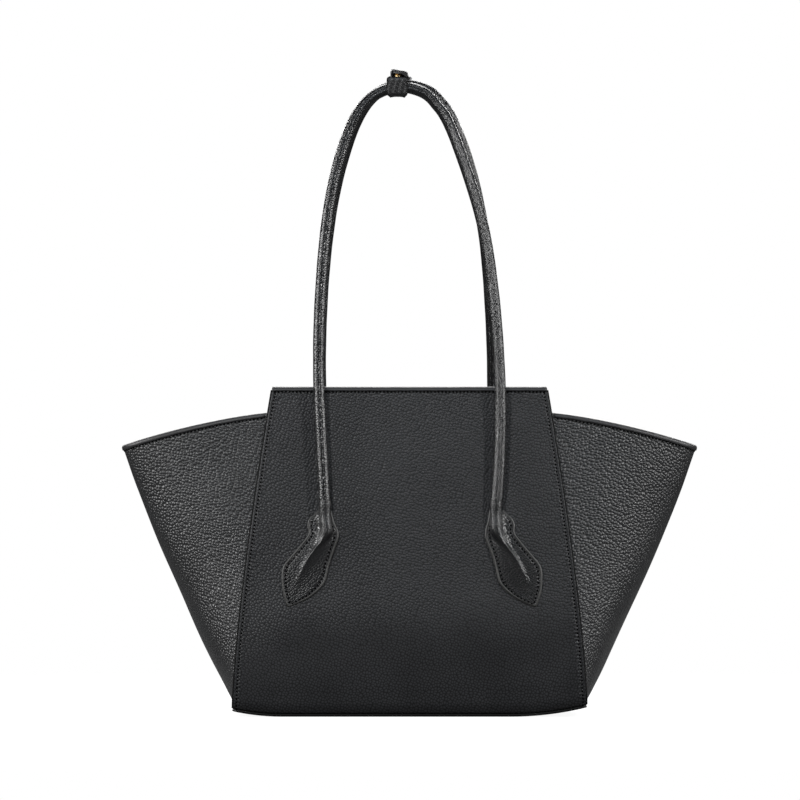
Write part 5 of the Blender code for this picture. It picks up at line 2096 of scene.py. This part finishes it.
@dataclass(frozen=True)
class Studio:
    """A pale floor, soft light from both sides and the camera."""

    distance: float = 8.0
    width_seen: float = 0.680
    middle: Tuple[float, float] = (-0.0081, 0.2678)
    plane: float = -0.030
    aim: float = 0.26
    floor_radius: float = 4.0
    floor_drop: float = 0.0003
    floor_fade: Tuple[float, float] = (0.40, 1.3)
    wall_light: float = 0.07

    def build(self) -> None:
        """Build the studio."""
        self.floor()
        self.lights()
        self.world()
        self.camera()

    def floor(self) -> None:
        """Lay a pale floor that fades out into the backdrop."""
        mesh = bmesh.new()
        bmesh.ops.create_circle(mesh, cap_ends=True, segments=96, radius=self.floor_radius)
        bmesh.ops.translate(mesh, vec=(0.0, 0.0, -self.floor_drop), verts=mesh.verts)
        item = Workshop.to_object("floor", mesh, smooth=False)
        graph = Graph("floor_paper")
        place = graph.node("ShaderNodeTexCoord", output="Object")
        far = graph.vector("LENGTH", {0: place}, "Value").between(*self.floor_fade)
        graph.finish((0.15, 0.15, 0.15), 0.9, Specular_IOR_Level=0.1, Emission_Strength=1.0)
        seen = graph.node("ShaderNodeLightPath", output="Is Camera Ray") * 0.92
        glow = graph.mix(seen, (0.0, 0.0, 0.0), (1.0, 1.0, 1.0))
        graph.feed(graph.shader.inputs["Emission Color"], glow)
        clear = graph.node("ShaderNodeBsdfTransparent")
        blend = graph.node("ShaderNodeMixShader", None, {0: far, 2: clear})
        graph.tree.links.new(graph.shader.outputs[0], blend.node.inputs[1])
        graph.feed(graph.tree.nodes["Material Output"].inputs["Surface"], blend)
        item.data.materials.append(graph.material)

    def lamp(self, name: str, azimuth: float, elevation: float, away: float, size: Tuple[float, float],
             radiance: float, colour: Colour = (1.0, 1.0, 1.0)) -> None:
        """Hang a soft rectangular light that points at the bag.

        Args:
            name: the light's name.
            azimuth: its angle round the bag in degrees, from the front towards +X.
            elevation: its angle above the bag's middle in degrees.
            away: its distance.
            size: its width and height.
            radiance: how bright its face is.
            colour: its colour.
        """
        data = bpy.data.lights.new(name, "AREA")
        data.shape = "RECTANGLE"
        data.size, data.size_y = size
        data.energy = radiance * math.pi * size[0] * size[1]
        data.color = colour
        item = bpy.data.objects.new(name, data)
        bpy.context.scene.collection.objects.link(item)
        turn, rise = math.radians(azimuth), math.radians(elevation)
        target = Vector((0.0, 0.0, self.aim))
        spot = Vector((math.sin(turn) * math.cos(rise), -math.cos(turn) * math.cos(rise), math.sin(rise)))
        item.location = target + spot * away
        item.rotation_euler = (-spot).to_track_quat("-Z", "Y").to_euler()

    def lights(self) -> None:
        """Hang the lights, each given as a lamp's arguments."""
        for light in (("left_softbox", -78.0, 18.0, 2.0, (0.50, 0.8), 27.0),
                      ("left_strip", -26.0, 25.0, 1.6, (0.07, 0.70), 60.0),
                      ("right_strip", 50.0, 25.0, 1.8, (0.11, 0.80), 56.0),
                      ("right_softbox", 82.0, 18.0, 2.0, (0.50, 0.8), 17.0),
                      ("top_softbox", 0.0, 52.0, 2.2, (1.5, 0.7), 4.0, (0.84, 0.92, 1.0)),
                      ("back_softbox", 180.0, 40.0, 2.4, (1.4, 1.0), 9.0),
                      ("back_left_strip", 148.0, 25.0, 2.0, (0.20, 0.80), 20.0),
                      ("back_right_strip", -148.0, 25.0, 2.0, (0.20, 0.80), 20.0)):
            self.lamp(*light)

    def world(self) -> None:
        """Give the studio pale walls that are seen, and a dimmer light from them."""
        world = bpy.data.worlds.new("studio_walls")
        bpy.context.scene.world = world
        world.use_nodes = True
        tree = world.node_tree
        tree.nodes.clear()
        path = tree.nodes.new("ShaderNodeLightPath")
        strength = tree.nodes.new("ShaderNodeMapRange")
        strength.inputs["To Min"].default_value = self.wall_light
        strength.inputs["To Max"].default_value = 1.0
        background = tree.nodes.new("ShaderNodeBackground")
        background.inputs["Color"].default_value = (1.0, 1.0, 1.0, 1.0)
        output = tree.nodes.new("ShaderNodeOutputWorld")
        tree.links.new(path.outputs["Is Camera Ray"], strength.inputs["Value"])
        tree.links.new(strength.outputs[0], background.inputs["Strength"])
        tree.links.new(background.outputs[0], output.inputs["Surface"])

    def camera(self) -> None:
        """Set the camera level and far off, as in the photograph."""
        data = bpy.data.cameras.new("camera")
        data.sensor_width = 36.0
        data.lens = data.sensor_width * self.distance / self.width_seen
        item = bpy.data.objects.new("camera", data)
        bpy.context.scene.collection.objects.link(item)
        item.location = (self.middle[0], self.plane - self.distance, self.middle[1])
        item.rotation_euler = (math.pi / 2, 0.0, 0.0)
        bpy.context.scene.camera = item
        bpy.context.scene.view_settings.view_transform = "Standard"


def dress_hidden(frame: Dict) -> None:
    """Give the ropes, which keep their solids, a better material."""
    for shape in (FRONT_HANDLE, BACK_HANDLE):
        node = f"{shape.name}_handle_core"
        for slot in frame["nodes"][node].material_slots:
            slot.material = ROPE.material()
        LOG.info("%s keeps its solid, in %s", node, ROPE.name)


def main() -> None:
    """Load the solid model and build every dressed piece over it."""
    logging.basicConfig(level=logging.INFO, format="%(name)s: %(message)s")
    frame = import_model()
    form = BagForm()
    for side in Side:
        Face(form, side).build()
    for wing in Wing:
        WingSide(form, wing).build()
    Base(form).build()
    for shape in (FRONT_HANDLE, BACK_HANDLE):
        Handle(form, shape).build()
    for side in Side:
        for hand in (-1.0, 1.0):
            Tab(form, side, hand).build()
    Keeper().build()
    ZipPocket(form).build()
    SlipPocket(form).build()
    MagneticSnap(form).build()
    dress_hidden(frame)
    Studio().build()


if __name__ == "__main__":
    main()
